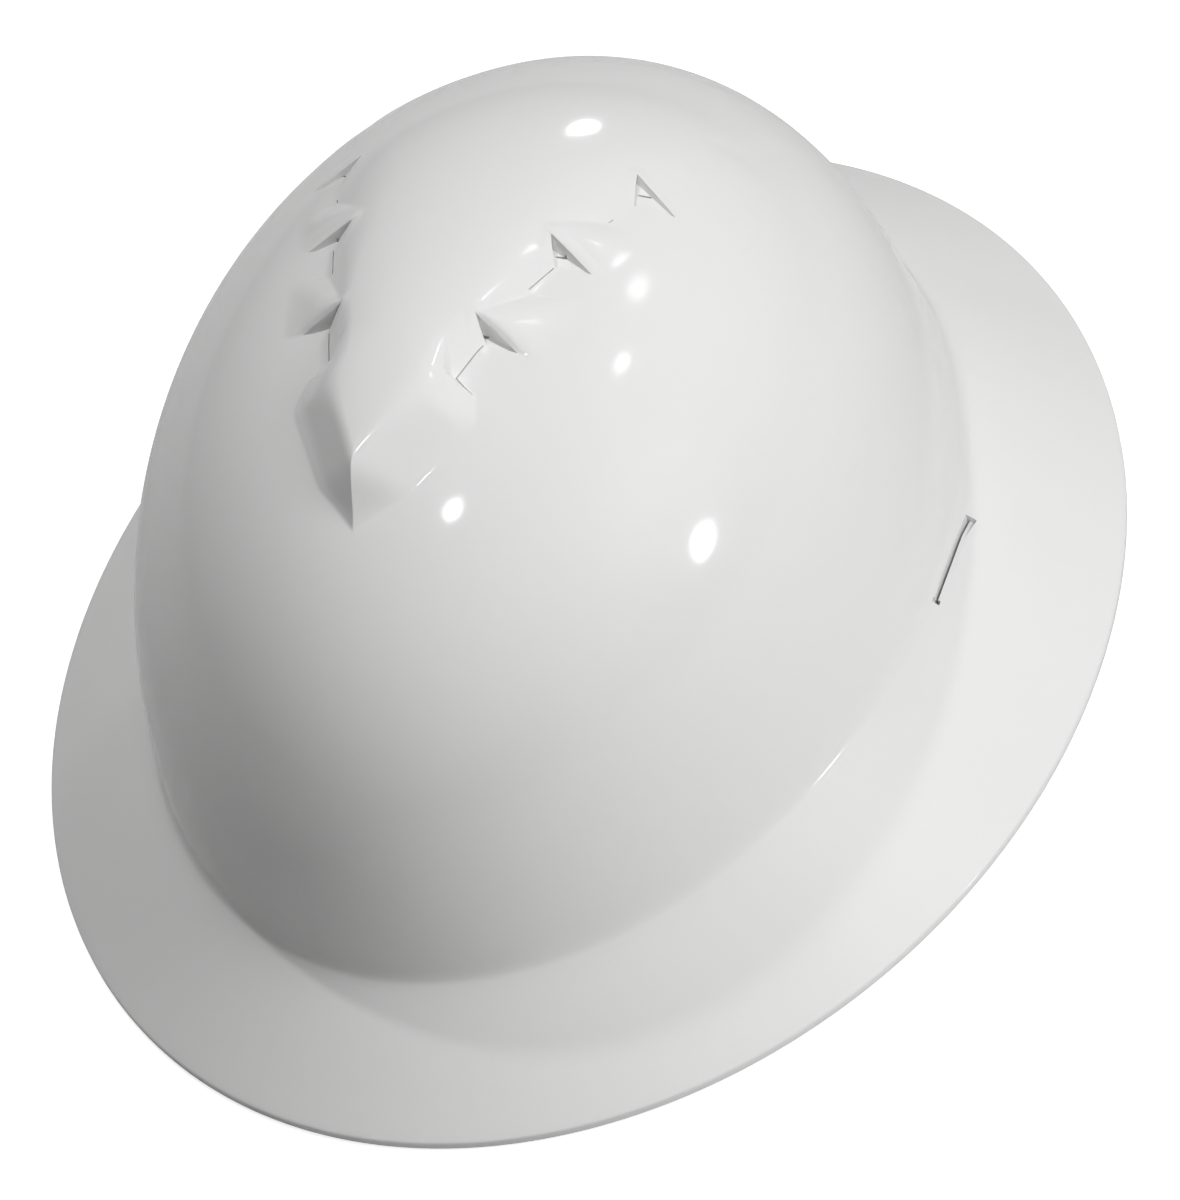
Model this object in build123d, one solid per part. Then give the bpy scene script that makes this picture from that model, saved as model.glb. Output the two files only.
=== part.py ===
from build123d import *
from math import atan, cos, degrees, hypot, pi, radians, sin, sqrt, tan
import os

# Full brim hard hat with a vented crest and a four point ratchet suspension.
# Millimetres, +Z up, front at -Y, wearer's left at +X.
# Origin: centre of the brim, on the plane that its rim stands on.

# Brim
brim_half_width = 139.5
brim_half_length = 171.0
brim_slope = 36.9
brim_inset = 48.0
rim_height = 2.2
rim_width = 2.0

# Dome
dome_half_width = 101.6
dome_half_length = 134.6
dome_height = 128.0
dome_forward = 5.7
dome_base = 14.5
shell_wall = 2.8
dome_steep_share = 0.61
dome_round_share = 0.65

# Flare round the sides and back of the dome's foot
flare_half_width = 102.9
flare_half_length = 133.6
flare_forward = 1.5
flare_bottom = 28.0
flare_height = 21.0
flare_lean = 16.0

# Crest: lifted copy of the dome that sinks back into it towards the rear
crest_tilt = 3.7
crest_end_share = 0.562
crest_margin_share = 0.1
crest_front_cap = 30.0
crest_depth = 34.0
vent_wall = 0.9
vent_overrun = 0.5
# Places on the crest, as shares of the dome's half width and half length
prow_foot_shares = ((0, -0.585), (0.098, -0.530), (0.187, -0.433), (0.221, -0.381), (0.190, -0.322))
prow_top_shares = ((0, -0.511), (0.039, -0.448), (0.084, -0.374), (0.108, -0.314))
core_foot_shares = ((0.162, -0.329), (0.379, 0.150))
core_top_share = (0.147, -0.255)
core_front_share = -0.40
core_reach_share = 0.5
# One row a vent: inner foot, outer foot, top, widest foot, rear foot, inner rear foot, rear top
vent_shares = (
    ((0.192, -0.251), (0.276, -0.250), (0.176, -0.198), (0.320, -0.173),
     (0.305, -0.117), (0.256, -0.117), (0.225, -0.070)),
    ((0.276, -0.062), (0.359, -0.051), (0.266, 0.002), (0.404, 0.027),
     (0.399, 0.076), (0.354, 0.083), (0.318, 0.125)),
    ((0.379, 0.150), (0.475, 0.161), (0.381, 0.192), (0.522, 0.280),
     (0.505, 0.420), (0.454, 0.440), (0.420, 0.500)),
)

# Accessory slots at the sides
slot_length = 30.0
slot_gap = 1.2
slot_mouth = 3.9
slot_depth = 5.6
slot_back = 4.7
slot_pocket_wall = 2.6
slot_pocket_depth = 12.0

# Suspension keys, on the two diagonals through the crown
crown_forward = 12.0
key_angle = 50.0
key_reach = 99.4
key_thickness = 2.5
key_half_width = 13.0
key_foot = 37.0
key_height = 16.0
key_window_floor = 5.0
key_window_height = 3.4
tongue_half_width = 6.0
tongue_height = 13.0
key_clearance = 0.25
socket_wall = 1.8
socket_roof = 1.5
finger_width = 2.4
finger_height = 5.0
finger_rise = 4.0
finger_reach = 13.2

# Crown straps
strap_width = 19.0
strap_thickness = 1.5
strap_gap = 2.5
strap_arch_base = 60.0
strap_arch_height = 47.0
strap_loop_gap = 0.3
crown_pad_radius = 27.0
crown_pad_thickness = 3.5
soft_gap = 0.35

# Headband
band_radius = 80.0
band_front = 116.0
band_wall = 2.0
band_bottom = 18.0
band_top = 50.0
band_strip_bottom = 37.0
band_strip_angle = 56.0
band_slot_count = 7
band_slot_length = 9.0
band_slot_height = 3.0
band_slot_pitch = 15.0
band_slot_rise = 6.0
brow_pad_thickness = 4.5
brow_pad_half_width = 42.0
brow_pad_rim = 2.0

# Temple swivel
temple_forward = 14.0
temple_height = 27.0
temple_lobe_radius = 9.0
temple_pin_radius = 2.5
temple_head_radius = 4.5
temple_head_thickness = 1.5
running_clearance = 0.06
link_gap = 0.35
link_thickness = 2.0
link_tail_height = 16.0
bead_radius = 2.0
socket_radius = 3.9
socket_mouth_inner = 0.95
socket_mouth_outer = 1.9
socket_mouth_reach = 5.0
neck_thickness = 1.6
neck_length = 6.0

# Nape arms and their racks
ratchet_height = 22.0
arm_height = 21.0
arm_body_end = 44.0
arm_tail_end = 21.0
rack_pitch = 4.5
rack_tooth_height = 2.0
rack_tooth_root = 1.7
rack_tooth_tip = 0.9
rack_tooth_count = 9
pinion_teeth = 6
pinion_tooth_root = 1.5
pinion_tooth_tip = 0.8
pinion_root_gap = 0.4
pinion_tip_gap = 0.3
pinion_thickness = 2.4
size_swing = 10.0

# Ratchet housing, cover and knob
housing_half_angle = 17.0
housing_wall = 2.0
channel_gap = 0.8
channel_end_gap = 0.6
boss_radius = 11.0
boss_height = 2.4
hub_radius = 3.5
shaft_radius = 1.85
screw_radius = 0.95
screw_head_radius = 2.4
screw_head_height = 1.5
knob_gap = 0.6
knob_radius = 13.0
knob_depth = 11.0
knob_groove_inner = 6.0
knob_groove_outer = 10.5
knob_groove_depth = 2.6
knob_dish_radius = 9.0
knob_dish_depth = 1.2
grip_thickness = 1.6
grip_margin = 1.4
grip_ribs = 24
grip_rib_radius = 0.9
spring_inner = 6.8
spring_outer = 9.8
spring_thickness = 0.5
spring_bump_size = 1.4
spring_bump_height = 1.5
nape_pad_thickness = 4.5
nape_pad_half_angle = 19.0
nape_pad_margin = 2.0

overrun = 20.0
angle_overrun = 1.0

# Radius of the unit shapes that the named sizes scale
dome_unit = 1


def bezier_radius(t):
    """Radius of the dome's profile, as a share, from its foot at 0 to its top at 1."""
    return (1 - t) ** 3 + 3 * (1 - t) ** 2 * t + 3 * (1 - t) * t ** 2 * dome_round_share


def bezier_height(t):
    """Height of the same profile, as a share."""
    return 3 * (1 - t) ** 2 * t * dome_steep_share + 3 * (1 - t) * t ** 2 + t ** 3


def dome_place(share):
    """Plan position of a pair of shares of the dome's half sizes."""
    return share[0] * dome_half_width, share[1] * dome_half_length - dome_forward


def dome_top(share):
    """Height of the dome's outside at a pair of shares."""
    wanted = hypot(share[0], share[1])
    low, high = 0, 1
    for _ in range(40):
        middle = (low + high) / 2
        if bezier_radius(middle) > wanted:
            low = middle
        else:
            high = middle
    return dome_base + dome_height * bezier_height(low)


def crest_rise(share):
    """Height of the lifted crest over the dome at a pair of shares."""
    return tan(radians(crest_tilt)) * (crest_end_share - share[1]) * dome_half_length


def foot(share):
    """Point of the crest on the dome's surface."""
    x, y = dome_place(share)
    return Vector(x, y, dome_top(share))


def lifted(share):
    """Point of the crest on its raised top."""
    x, y = dome_place(share)
    return Vector(x, y, dome_top(share) + crest_rise(share))


def dome_solid(inset):
    """Solid dome, smaller all round by inset."""
    curve = Bezier((1, 0, 0), (1, 0, dome_steep_share), (dome_round_share, 0, 1), (0, 0, 1))
    profile = Face(Wire([curve, Line((0, 0, 1), (0, 0, 0)), Line((0, 0, 0), (dome_unit, 0, 0))]))
    sizes = (dome_half_width - inset, dome_half_length - inset, dome_height - inset)
    return Pos(0, -dome_forward, dome_base) * scale(revolve(profile, Axis.Z, 360), by=sizes)


def lifted_dome(inset):
    """The dome tipped about its rear, so that its front and top stand higher."""
    pivot = lifted((0, crest_end_share))
    axis = Axis((0, pivot.Y, pivot.Z), (1, 0, 0))
    return dome_solid(inset).rotate(axis, -crest_tilt)


def elliptic_frustum(half_width, half_length, inset, rise):
    """Ruled solid between an ellipse and one that is smaller by inset, rise higher."""
    low = Ellipse(half_width, half_length).face()
    high = (Pos(0, 0, rise) * Ellipse(half_width - inset, half_length - inset)).face()
    return loft([low, high], ruled=True)


def cut_behind(body, corners, inside, inset):
    """Keep the part of body on the side of a plane where inside lies, inset from the plane."""
    a, b, c = corners
    normal = (b - a).cross(c - a).normalized()
    if normal.dot(inside - a) > 0:
        normal = normal * -1
    plane = Plane(origin=a - normal * inset, z_dir=normal)
    return split(body, bisect_by=plane, keep=Keep.BOTTOM)


def crest_block(front, back, inner, outer):
    """Upright block between two length shares and two width shares."""
    x_low = inner * dome_half_width
    x_high = outer * dome_half_width
    y_low = front * dome_half_length - dome_forward
    y_high = back * dome_half_length - dome_forward
    top = dome_base + dome_height
    middle = Pos((x_low + x_high) / 2, (y_low + y_high) / 2, top - crest_depth)
    return middle * Box(x_high - x_low, y_high - y_low, (crest_depth + crest_front_cap) * 2)


def both_sides(shape):
    """The shape and its mirror image."""
    return shape + mirror(shape, Plane.YZ)


def crest_prow(inset):
    """Pointed front of the crest, its flanks closed by planes from foot to top."""
    inside = foot((0, core_front_share)) - Vector(0, 0, shell_wall)
    front = prow_foot_shares[0][1] - crest_margin_share
    outer = prow_foot_shares[3][0] + crest_margin_share
    block = crest_block(front, prow_foot_shares[4][1], 0, outer)
    for k in range(3):
        corners = (foot(prow_foot_shares[k]), foot(prow_foot_shares[k + 1]), lifted(prow_top_shares[k]))
        block = cut_behind(block, corners, inside, inset)
    corners = (foot(prow_foot_shares[3]), foot(prow_foot_shares[4]), lifted(prow_top_shares[3]))
    return cut_behind(block, corners, inside, inset)


def crest_core(inset):
    """Straight sided arrow body of the crest, its right half."""
    inside = foot((0, 0)) - Vector(0, 0, shell_wall)
    block = crest_block(core_front_share, crest_end_share, 0, core_reach_share)
    corners = (foot(core_foot_shares[0]), foot(core_foot_shares[1]), lifted(core_top_share))
    return cut_behind(block, corners, inside, inset)


def vent_hood(row, inset, front_inset):
    """One hood of the crest, open to the front, on the right."""
    inner, outer, top, wide, rear, rear_inner, rear_top = row
    inside = foot((inner[0], (inner[1] + rear[1]) / 2)) - Vector(0, 0, shell_wall)
    margin = crest_margin_share
    block = crest_block(inner[1] - margin, rear_top[1], inner[0] - margin, wide[0] + margin)
    block = cut_behind(block, (foot(inner), foot(outer), lifted(top)), inside, front_inset)
    block = cut_behind(block, (foot(outer), foot(wide), lifted(top)), inside, inset)
    block = cut_behind(block, (foot(wide), foot(rear), lifted(rear_top)), inside, inset)
    return cut_behind(block, (foot(rear), foot(rear_inner), lifted(rear_top)), inside, inset)


def plan_prism(corners):
    """Upright prism over plan points."""
    return extrude(make_face(Polyline(*corners, close=True)), dome_height * 2)


def crest_plan():
    """Outline of the right half of the crest."""
    points = [(0, prow_foot_shares[0][1])] + list(prow_foot_shares[1:])
    for row in vent_shares:
        points += [row[0], row[1], row[3], row[4], row[5]]
    points += [(vent_shares[2][6][0], crest_end_share), (0, crest_end_share)]
    return plan_prism([dome_place(share) for share in points])


def crest(inset):
    """The whole crest, as a solid that stands in the dome."""
    body = crest_prow(inset) + crest_core(inset)
    for row in vent_shares:
        body = body + vent_hood(row, inset, inset)
    return both_sides(body & crest_plan()) & lifted_dome(inset)


def vent_cuts():
    """Openings of the hoods, through to the inside of the dome, beside the core's flank."""
    core = crest_core(-vent_overrun / 2)
    roof = lifted_dome(vent_wall)
    cuts = []
    for row in vent_shares:
        inner, outer, top, wide, rear, rear_inner, _ = [dome_place(share) for share in row]
        reach = plan_prism([
            (inner[0], inner[1] - vent_overrun),
            (outer[0] - vent_wall, outer[1] - vent_overrun),
            (wide[0] - vent_wall, wide[1]),
            (rear[0] - vent_wall, rear[1] - vent_wall),
            (rear_inner[0] - vent_wall, rear_inner[1] - vent_wall),
            (top[0] - vent_wall, top[1]),
        ])
        cuts.append(((vent_hood(row, vent_wall, -vent_overrun) & reach) - core) & roof)
    return both_sides(cuts[0] + cuts[1] + cuts[2])


brim_rise = brim_inset * tan(radians(brim_slope))
slot_x = flare_half_width
slot_top = rim_height + (brim_half_width - slot_x) * tan(radians(brim_slope))


def brim_top():
    """Everything under the upper face of the brim."""
    return Pos(0, 0, rim_height) * elliptic_frustum(brim_half_width, brim_half_length, brim_inset, brim_rise)


def brim_solid():
    """Sloping brim with a thicker rim that the hat stands on."""
    under = elliptic_frustum(brim_half_width - rim_width, brim_half_length - rim_width, brim_inset, brim_rise)
    rim = extrude(Ellipse(brim_half_width, brim_half_length), rim_height)
    return brim_top() + rim - under


def slot_profile(points):
    """Prism as long as an accessory slot from points across it: out from the dome, up from the brim."""
    corners = [(slot_x + out, slot_top + up) for out, up in points]
    face = make_face(Plane.XZ * Polyline(*corners, close=True))
    return Pos(0, slot_back, 0) * extrude(face, slot_length / 2, both=True)


def slot_pockets():
    """Thickened pocket under each slot."""
    width = slot_mouth + slot_pocket_wall * 2
    low = slot_top - slot_pocket_depth
    high = slot_top + slot_depth
    middle = Pos(slot_x - slot_pocket_wall + width / 2, slot_back, (low + high) / 2)
    block = middle * Box(width, slot_length + slot_pocket_wall * 2, high - low)
    return both_sides(block) & brim_top()


def slot_cuts():
    """Sloping mouth of each slot and the gap at its foot."""
    mouth = slot_profile((
        (0, overrun),
        (0, -slot_depth),
        (slot_gap, -slot_depth),
        (slot_mouth, -slot_mouth),
        (slot_mouth, overrun),
    ))
    gap = slot_profile(((0, -slot_depth), (0, -overrun), (slot_gap, -overrun), (slot_gap, -slot_depth)))
    return both_sides(mouth + gap)


def key_frame(angle):
    """Frame of one key: x outwards along its diagonal, z up."""
    return Pos(0, -crown_forward, 0) * Rot(0, 0, angle)


def key_block(near, far, side_low, side_high, low, high):
    """Box in a key's frame from its limits."""
    middle = Pos((near + far) / 2, (side_low + side_high) / 2, (low + high) / 2)
    return middle * Box(far - near, side_high - side_low, high - low)


key_top = key_foot + key_height
key_back = key_reach + key_thickness
key_angles = {
    "front_left": -key_angle,
    "front_right": key_angle - 180,
    "rear_left": key_angle,
    "rear_right": 180 - key_angle,
}


def key_socket():
    """Socket of one key in the shell, in the key's frame."""
    half = tongue_half_width + key_clearance + socket_wall
    near = key_reach - key_clearance - socket_wall
    low = key_top + key_clearance
    high = key_top + tongue_height + key_clearance + socket_roof
    return key_block(near, key_back + overrun, -half, half, low, high)


def key_socket_cut():
    """Room for the key's tongue."""
    half = tongue_half_width + key_clearance
    near = key_reach - key_clearance
    far = key_back + key_clearance
    return key_block(near, far, -half, half, key_top, key_top + tongue_height + key_clearance)


def make_shell():
    """Dome, flare, brim, crest, vents, sockets and slots, as one moulding."""
    outer = dome_solid(0)
    lean = flare_height * tan(radians(flare_lean))
    cone = elliptic_frustum(flare_half_width, flare_half_length, lean, flare_height)
    flare = Pos(0, -flare_forward, flare_bottom) * cone
    body = brim_solid() + outer + flare + slot_pockets() + crest(0)
    well = Pos(0, -dome_forward, 0) * Ellipse(dome_half_width - shell_wall, dome_half_length - shell_wall)
    body = body - (dome_solid(shell_wall) + extrude(well, dome_base) + crest(shell_wall))
    for angle in key_angles.values():
        socket = key_frame(angle) * key_socket()
        body = body + (socket & outer)
    for angle in key_angles.values():
        body = body - key_frame(angle) * key_socket_cut()
    return body - vent_cuts() - slot_cuts()


def make_key():
    """Suspension key: bar for the strap, tongue for the socket, two fingers for the headband."""
    plate = key_block(key_reach, key_back, -key_half_width, key_half_width, key_foot, key_top)
    floor = key_foot + key_window_floor
    half = strap_width / 2 + (key_half_width - finger_width - strap_width / 2) / 2
    window = key_block(key_reach - overrun, key_back + overrun, -half, half, floor, floor + key_window_height)
    high = key_top + tongue_height
    tongue = key_block(key_reach, key_back, -tongue_half_width, tongue_half_width, key_top, high)
    key = plate - window + tongue
    near = key_reach - finger_reach
    low = key_foot + finger_rise
    high = low + finger_height
    for side in (-1, 1):
        edge = side * key_half_width
        inner = side * (key_half_width - finger_width)
        key = key + key_block(near, key_reach, min(edge, inner), max(edge, inner), low, high)
    return key


def finger_windows():
    """Windows of the headband for one key's fingers, in the key's frame."""
    low = key_foot + finger_rise - soft_gap
    high = low + finger_height + soft_gap * 2
    inner = key_half_width - finger_width - soft_gap
    outer = key_half_width + soft_gap
    near = key_reach - finger_reach - overrun
    right = key_block(near, key_reach - soft_gap, inner, outer, low, high)
    left = key_block(near, key_reach - soft_gap, -outer, -inner, low, high)
    return right + left


strap_reach = key_reach - strap_gap


def make_strap(extra):
    """Crown strap along the x axis of a key's frame, its arch higher by extra."""
    rise = strap_arch_height + extra
    inner_reach = strap_reach - strap_thickness
    arch = Ellipse(strap_reach, rise) - Ellipse(inner_reach, rise - strap_thickness)
    arch = Pos(0, strap_arch_base) * (arch - Pos(0, -rise) * Rectangle(strap_reach * 3, rise * 2))
    loop_low = key_foot - strap_loop_gap - strap_thickness
    loop_high = key_foot + key_window_floor + strap_loop_gap + strap_thickness
    loop_far = key_back + strap_loop_gap + strap_thickness
    shape = arch
    for side in (-1, 1):
        leg_x = side * (strap_reach - strap_thickness / 2)
        leg_z = (loop_low + strap_arch_base) / 2
        leg = Pos(leg_x, leg_z) * Rectangle(strap_thickness, strap_arch_base - loop_low)
        loop_x = side * (inner_reach + loop_far) / 2
        loop_z = (loop_low + loop_high) / 2
        loop = Pos(loop_x, loop_z) * Rectangle(loop_far - inner_reach, loop_high - loop_low)
        room_x = side * (strap_reach + loop_far - strap_thickness) / 2
        room_width = loop_far - strap_thickness - strap_reach
        room = Pos(room_x, loop_z) * Rectangle(room_width, loop_high - loop_low - strap_thickness * 2)
        shape = shape + leg + (loop - room)
    return extrude(Plane.XZ * shape, strap_width / 2, both=True)


def make_crown_pad():
    """Soft disc under the crossing of the straps."""
    reach = strap_reach - strap_thickness - soft_gap
    rise = strap_arch_height - strap_thickness - soft_gap
    outer = scale(Sphere(dome_unit), by=(reach, reach, rise))
    thick = crown_pad_thickness
    inner = scale(Sphere(dome_unit), by=(reach - thick, reach - thick, rise - thick))
    column = Cylinder(crown_pad_radius, rise * 2, align=(Align.CENTER, Align.CENTER, Align.MIN))
    return Pos(0, -crown_forward, strap_arch_base) * ((outer - inner) & column)


def ring_band(half_width, half_length, wall, low, high):
    """Upright elliptical ring, its inside given."""
    outer = Ellipse(half_width + wall, half_length + wall)
    inner = Ellipse(half_width, half_length)
    return Pos(0, 0, low) * extrude(outer - inner, high - low)


def half_box(front, low, high):
    """Block that covers everything in front of the temples, or everything behind them."""
    reach = band_front * 2
    offset = -reach / 2 if front else reach / 2
    return Pos(0, offset, (low + high) / 2) * Box(reach * 2, reach, high - low)


def sector_prism(radius, start, end, low, high):
    """Upright wedge about the origin between two angles measured from the rear."""
    far = radius * 2
    first = radians(start)
    last = radians(end)
    corners = [(0, 0), (far * sin(first), far * cos(first)), (far * sin(last), far * cos(last))]
    return Pos(0, 0, low) * extrude(make_face(Polyline(*corners, close=True)), high - low)


def temple_cylinder(radius, near, far):
    """Cylinder along the swivel axis on the left, from near to far."""
    place = Pos(near, -temple_forward, temple_height) * Rot(0, 90, 0)
    return place * Cylinder(radius, far - near, align=(Align.CENTER, Align.CENTER, Align.MIN))


def make_headband():
    """Front band to the temples, with the strips that run back to the rear keys."""
    front = ring_band(band_radius, band_front, band_wall, band_bottom, band_top)
    front = front & half_box(True, band_bottom, band_top)
    step = Pos(0, -temple_forward / 2, (band_bottom + band_strip_bottom) / 2)
    gap = step * Box(band_radius * 4, temple_forward, band_strip_bottom - band_bottom)
    lobe_reach = band_radius + band_wall * 2
    lobes = both_sides(temple_cylinder(temple_lobe_radius, band_radius / 2, lobe_reach))
    front = (front - gap) + (front & gap & lobes)
    rear = ring_band(band_radius, band_radius, band_wall, band_strip_bottom, band_top)
    rear_sector = sector_prism(band_radius, 90 - band_strip_angle, 90, band_strip_bottom, band_top)
    band = front + (rear & both_sides(rear_sector))
    bore_radius = temple_pin_radius + running_clearance
    band = band - both_sides(temple_cylinder(bore_radius, band_radius / 2, lobe_reach))
    for angle in key_angles.values():
        band = band - key_frame(angle) * finger_windows()
    for k in range(band_slot_count):
        across = (k - (band_slot_count - 1) / 2) * band_slot_pitch
        height = band_top - band_slot_rise
        slot = Pos(across, -band_front, height) * Box(band_slot_length, overrun * 2, band_slot_height)
        band = band - slot
    return band


def make_brow_pad():
    """Sweat pad behind the brow."""
    thick = brow_pad_thickness
    inset = soft_gap + thick
    low = band_bottom + brow_pad_rim
    pad = ring_band(band_radius - inset, band_front - inset, thick, low, band_top - brow_pad_rim)
    middle = Pos(0, -band_front, (band_bottom + band_top) / 2)
    keep = middle * Box(brow_pad_half_width * 2, band_front, band_top)
    return pad & keep


link_near = band_radius + band_wall + link_gap
link_far = link_near + link_thickness
bead_x = band_radius + band_wall / 2


def make_temple_pin():
    """Pin of the nape strap, on the left."""
    inner = band_radius - band_wall
    shaft = temple_cylinder(temple_pin_radius, inner, link_far + running_clearance)
    head = temple_cylinder(temple_head_radius, link_far + running_clearance, link_far + temple_head_thickness)
    foot_head = temple_cylinder(temple_head_radius, inner - temple_head_thickness, inner + band_wall / 4)
    return shaft + head + foot_head


def make_temple_link():
    """Swivel tab on the pin, with the socket for the nape arm's bead, on the left."""
    disc = temple_cylinder(temple_lobe_radius, link_near, link_far)
    low = ratchet_height - link_tail_height / 2
    high = ratchet_height + link_tail_height / 2
    tail = Pos((link_near + link_far) / 2, -temple_forward / 2, (low + high) / 2)
    tail = tail * Box(link_thickness, temple_forward, high - low)
    upright = (Align.CENTER, Align.CENTER, Align.MIN)
    knuckle = Pos(bead_x, 0, low) * Cylinder(socket_radius, high - low, align=upright)
    bore = Pos(bead_x, 0, low) * Cylinder(bead_radius + running_clearance, high - low, align=upright)
    corners = [
        (-socket_mouth_inner, 0),
        (-socket_mouth_outer, socket_mouth_reach),
        (socket_mouth_outer, socket_mouth_reach),
        (socket_mouth_inner, 0),
    ]
    mouth = Pos(bead_x, 0, low) * extrude(make_face(Polyline(*corners, close=True)), high - low)
    link = (disc + tail + knuckle) - bore - mouth
    return link - temple_cylinder(temple_pin_radius + running_clearance, link_near, link_far)


pinion_pitch_radius = pinion_teeth * rack_pitch / 2 / pi
rack_shift = bead_x * (1 - cos(radians(size_swing))) / 2
arm_low = ratchet_height - arm_height / 2
arm_high = ratchet_height + arm_height / 2


def rack_tooth(upper):
    """One rack tooth at the rear, standing radially, pointing to the pinion."""
    side = 1 if upper else -1
    root = ratchet_height + side * (pinion_pitch_radius + rack_tooth_height / 2)
    tip = root - side * rack_tooth_height
    sunk = root + side * rack_tooth_height / 2
    half_root = rack_tooth_root / 2
    half_tip = rack_tooth_tip / 2
    left = [(-half_root, sunk), (-half_root, root), (-half_tip, tip)]
    corners = left + [(half_tip, tip), (half_root, root), (half_root, sunk)]
    face = make_face(Plane.XZ * Polyline(*corners, close=True))
    return Pos(0, bead_x, 0) * extrude(face, band_wall, both=True)


def make_arm(left):
    """Nape arm, with its bead at the temple and its rack through the housing."""
    side = 1 if left else -1
    ring = ring_band(band_radius, band_radius, band_wall, arm_low, arm_high)
    neck_angle = degrees(neck_length / band_radius)
    low_start, low_end = sorted((side * arm_body_end, side * (90 - neck_angle)))
    body = ring & sector_prism(band_radius, low_start, low_end, arm_low, arm_high)
    tail_start, tail_end = sorted((side * (arm_body_end + angle_overrun), -side * arm_tail_end))
    root = pinion_pitch_radius + rack_tooth_height / 2
    if left:
        low, high = ratchet_height + root, arm_high
    else:
        low, high = arm_low, ratchet_height - root
    tail = ring & sector_prism(band_radius, tail_start, tail_end, low, high)
    arm = body + tail
    for k in range(rack_tooth_count + 1):
        place = (k - rack_tooth_count / 2) * rack_pitch - side * rack_shift
        turned = Rot(0, 0, -degrees(place / bead_x)) * rack_tooth(left)
        arm = arm + (turned & ring_band(band_radius, band_radius, band_wall, arm_low, arm_high))
    upright = (Align.CENTER, Align.CENTER, Align.MIN)
    bead = Pos(side * bead_x, 0, arm_low) * Cylinder(bead_radius, arm_high - arm_low, align=upright)
    middle = Pos(side * bead_x, neck_length * 2 / 3, ratchet_height)
    neck = middle * Box(neck_thickness, neck_length * 4 / 3, arm_height)
    return arm + bead + neck


channel_inner = band_radius - channel_gap
channel_outer = band_radius + band_wall + channel_gap
channel_low = arm_low - channel_end_gap
channel_high = arm_high + channel_end_gap
case_low = channel_low - housing_wall
case_high = channel_high + housing_wall


def rear_ring(inner, outer, half_angle, low, high):
    """Upright arc at the rear, about the origin."""
    ring = ring_band(inner, inner, outer - inner, low, high)
    return ring & sector_prism(inner, -half_angle, half_angle, low, high)


def rear_cylinder(radius, near, far):
    """Cylinder along the knob's axis, from near to far."""
    place = Pos(0, near, ratchet_height) * Rot(-90, 0, 0)
    return place * Cylinder(radius, far - near, align=(Align.CENTER, Align.CENTER, Align.MIN))


def make_housing():
    """Inner half of the ratchet: a channel open to the rear."""
    block = rear_ring(channel_inner - housing_wall, channel_outer, housing_half_angle, case_low, case_high)
    beyond = housing_half_angle + angle_overrun
    channel = rear_ring(channel_inner, channel_outer + overrun, beyond, channel_low, channel_high)
    hole_radius = screw_head_radius + running_clearance * 5
    hole = rear_cylinder(hole_radius, channel_inner - housing_wall * 2, channel_outer)
    return block - channel - hole


boss_face = channel_outer + housing_wall + boss_height


def make_cover():
    """Outer half of the ratchet, with the bearing of the knob's hub."""
    plate_inner = channel_outer + running_clearance
    plate = rear_ring(plate_inner, channel_outer + housing_wall, housing_half_angle, case_low, case_high)
    boss = rear_cylinder(boss_radius, channel_outer + running_clearance, boss_face)
    inside = ring_band(channel_outer / 2, channel_outer / 2, channel_outer / 2, case_low, case_high)
    bore = rear_cylinder(hub_radius + running_clearance, channel_outer / 2, boss_face + overrun)
    return plate + (boss - inside) - bore


def make_pinion():
    """Gear between the racks."""
    near = bead_x - pinion_thickness / 2
    far = bead_x + pinion_thickness / 2
    root_radius = pinion_pitch_radius - rack_tooth_height / 2 - pinion_root_gap
    tip_radius = pinion_pitch_radius + rack_tooth_height / 2 - pinion_tip_gap
    gear = rear_cylinder(root_radius, near, far)
    half_root = pinion_tooth_root / 2
    half_tip = pinion_tooth_tip / 2
    corners = [(-half_root, 0), (-half_tip, tip_radius), (half_tip, tip_radius), (half_root, 0)]
    face = make_face(Plane.XZ * Polyline(*corners, close=True))
    tooth = Pos(0, bead_x, 0) * extrude(face, pinion_thickness / 2, both=True)
    for k in range(pinion_teeth):
        gear = gear + Pos(0, 0, ratchet_height) * Rot(0, 360 * k / pinion_teeth, 0) * tooth
    return gear - rear_cylinder(shaft_radius + running_clearance / 2, near, far)


knob_near = boss_face + knob_gap
knob_far = knob_near + knob_depth
hub_near = channel_outer - channel_gap / 2


def make_knob():
    """Size knob with its hub and shaft."""
    body = rear_cylinder(knob_radius, knob_near, knob_far)
    groove = rear_cylinder(knob_groove_outer, knob_near, knob_near + knob_groove_depth)
    groove = groove - rear_cylinder(knob_groove_inner, knob_near, knob_near + knob_groove_depth)
    dish = rear_cylinder(knob_dish_radius, knob_far - knob_dish_depth, knob_far)
    hub = rear_cylinder(hub_radius, hub_near, knob_near)
    shaft = rear_cylinder(shaft_radius, bead_x - pinion_thickness / 2, hub_near)
    bore_end = knob_near + knob_groove_depth
    bore = rear_cylinder(screw_radius + running_clearance, bead_x - pinion_thickness, bore_end)
    return body - groove - dish + hub + shaft - bore


def make_grip():
    """Soft ring round the knob, with ribs."""
    near = knob_near + grip_margin
    far = knob_far - grip_margin
    outer_radius = knob_radius + grip_thickness
    grip = rear_cylinder(outer_radius, near, far)
    for k in range(grip_ribs):
        turn = radians(360 * k / grip_ribs)
        notch = rear_cylinder(grip_rib_radius, near, far)
        grip = grip - Pos(outer_radius * cos(turn), 0, outer_radius * sin(turn)) * notch
    return grip - rear_cylinder(knob_radius, near, far)


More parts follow.
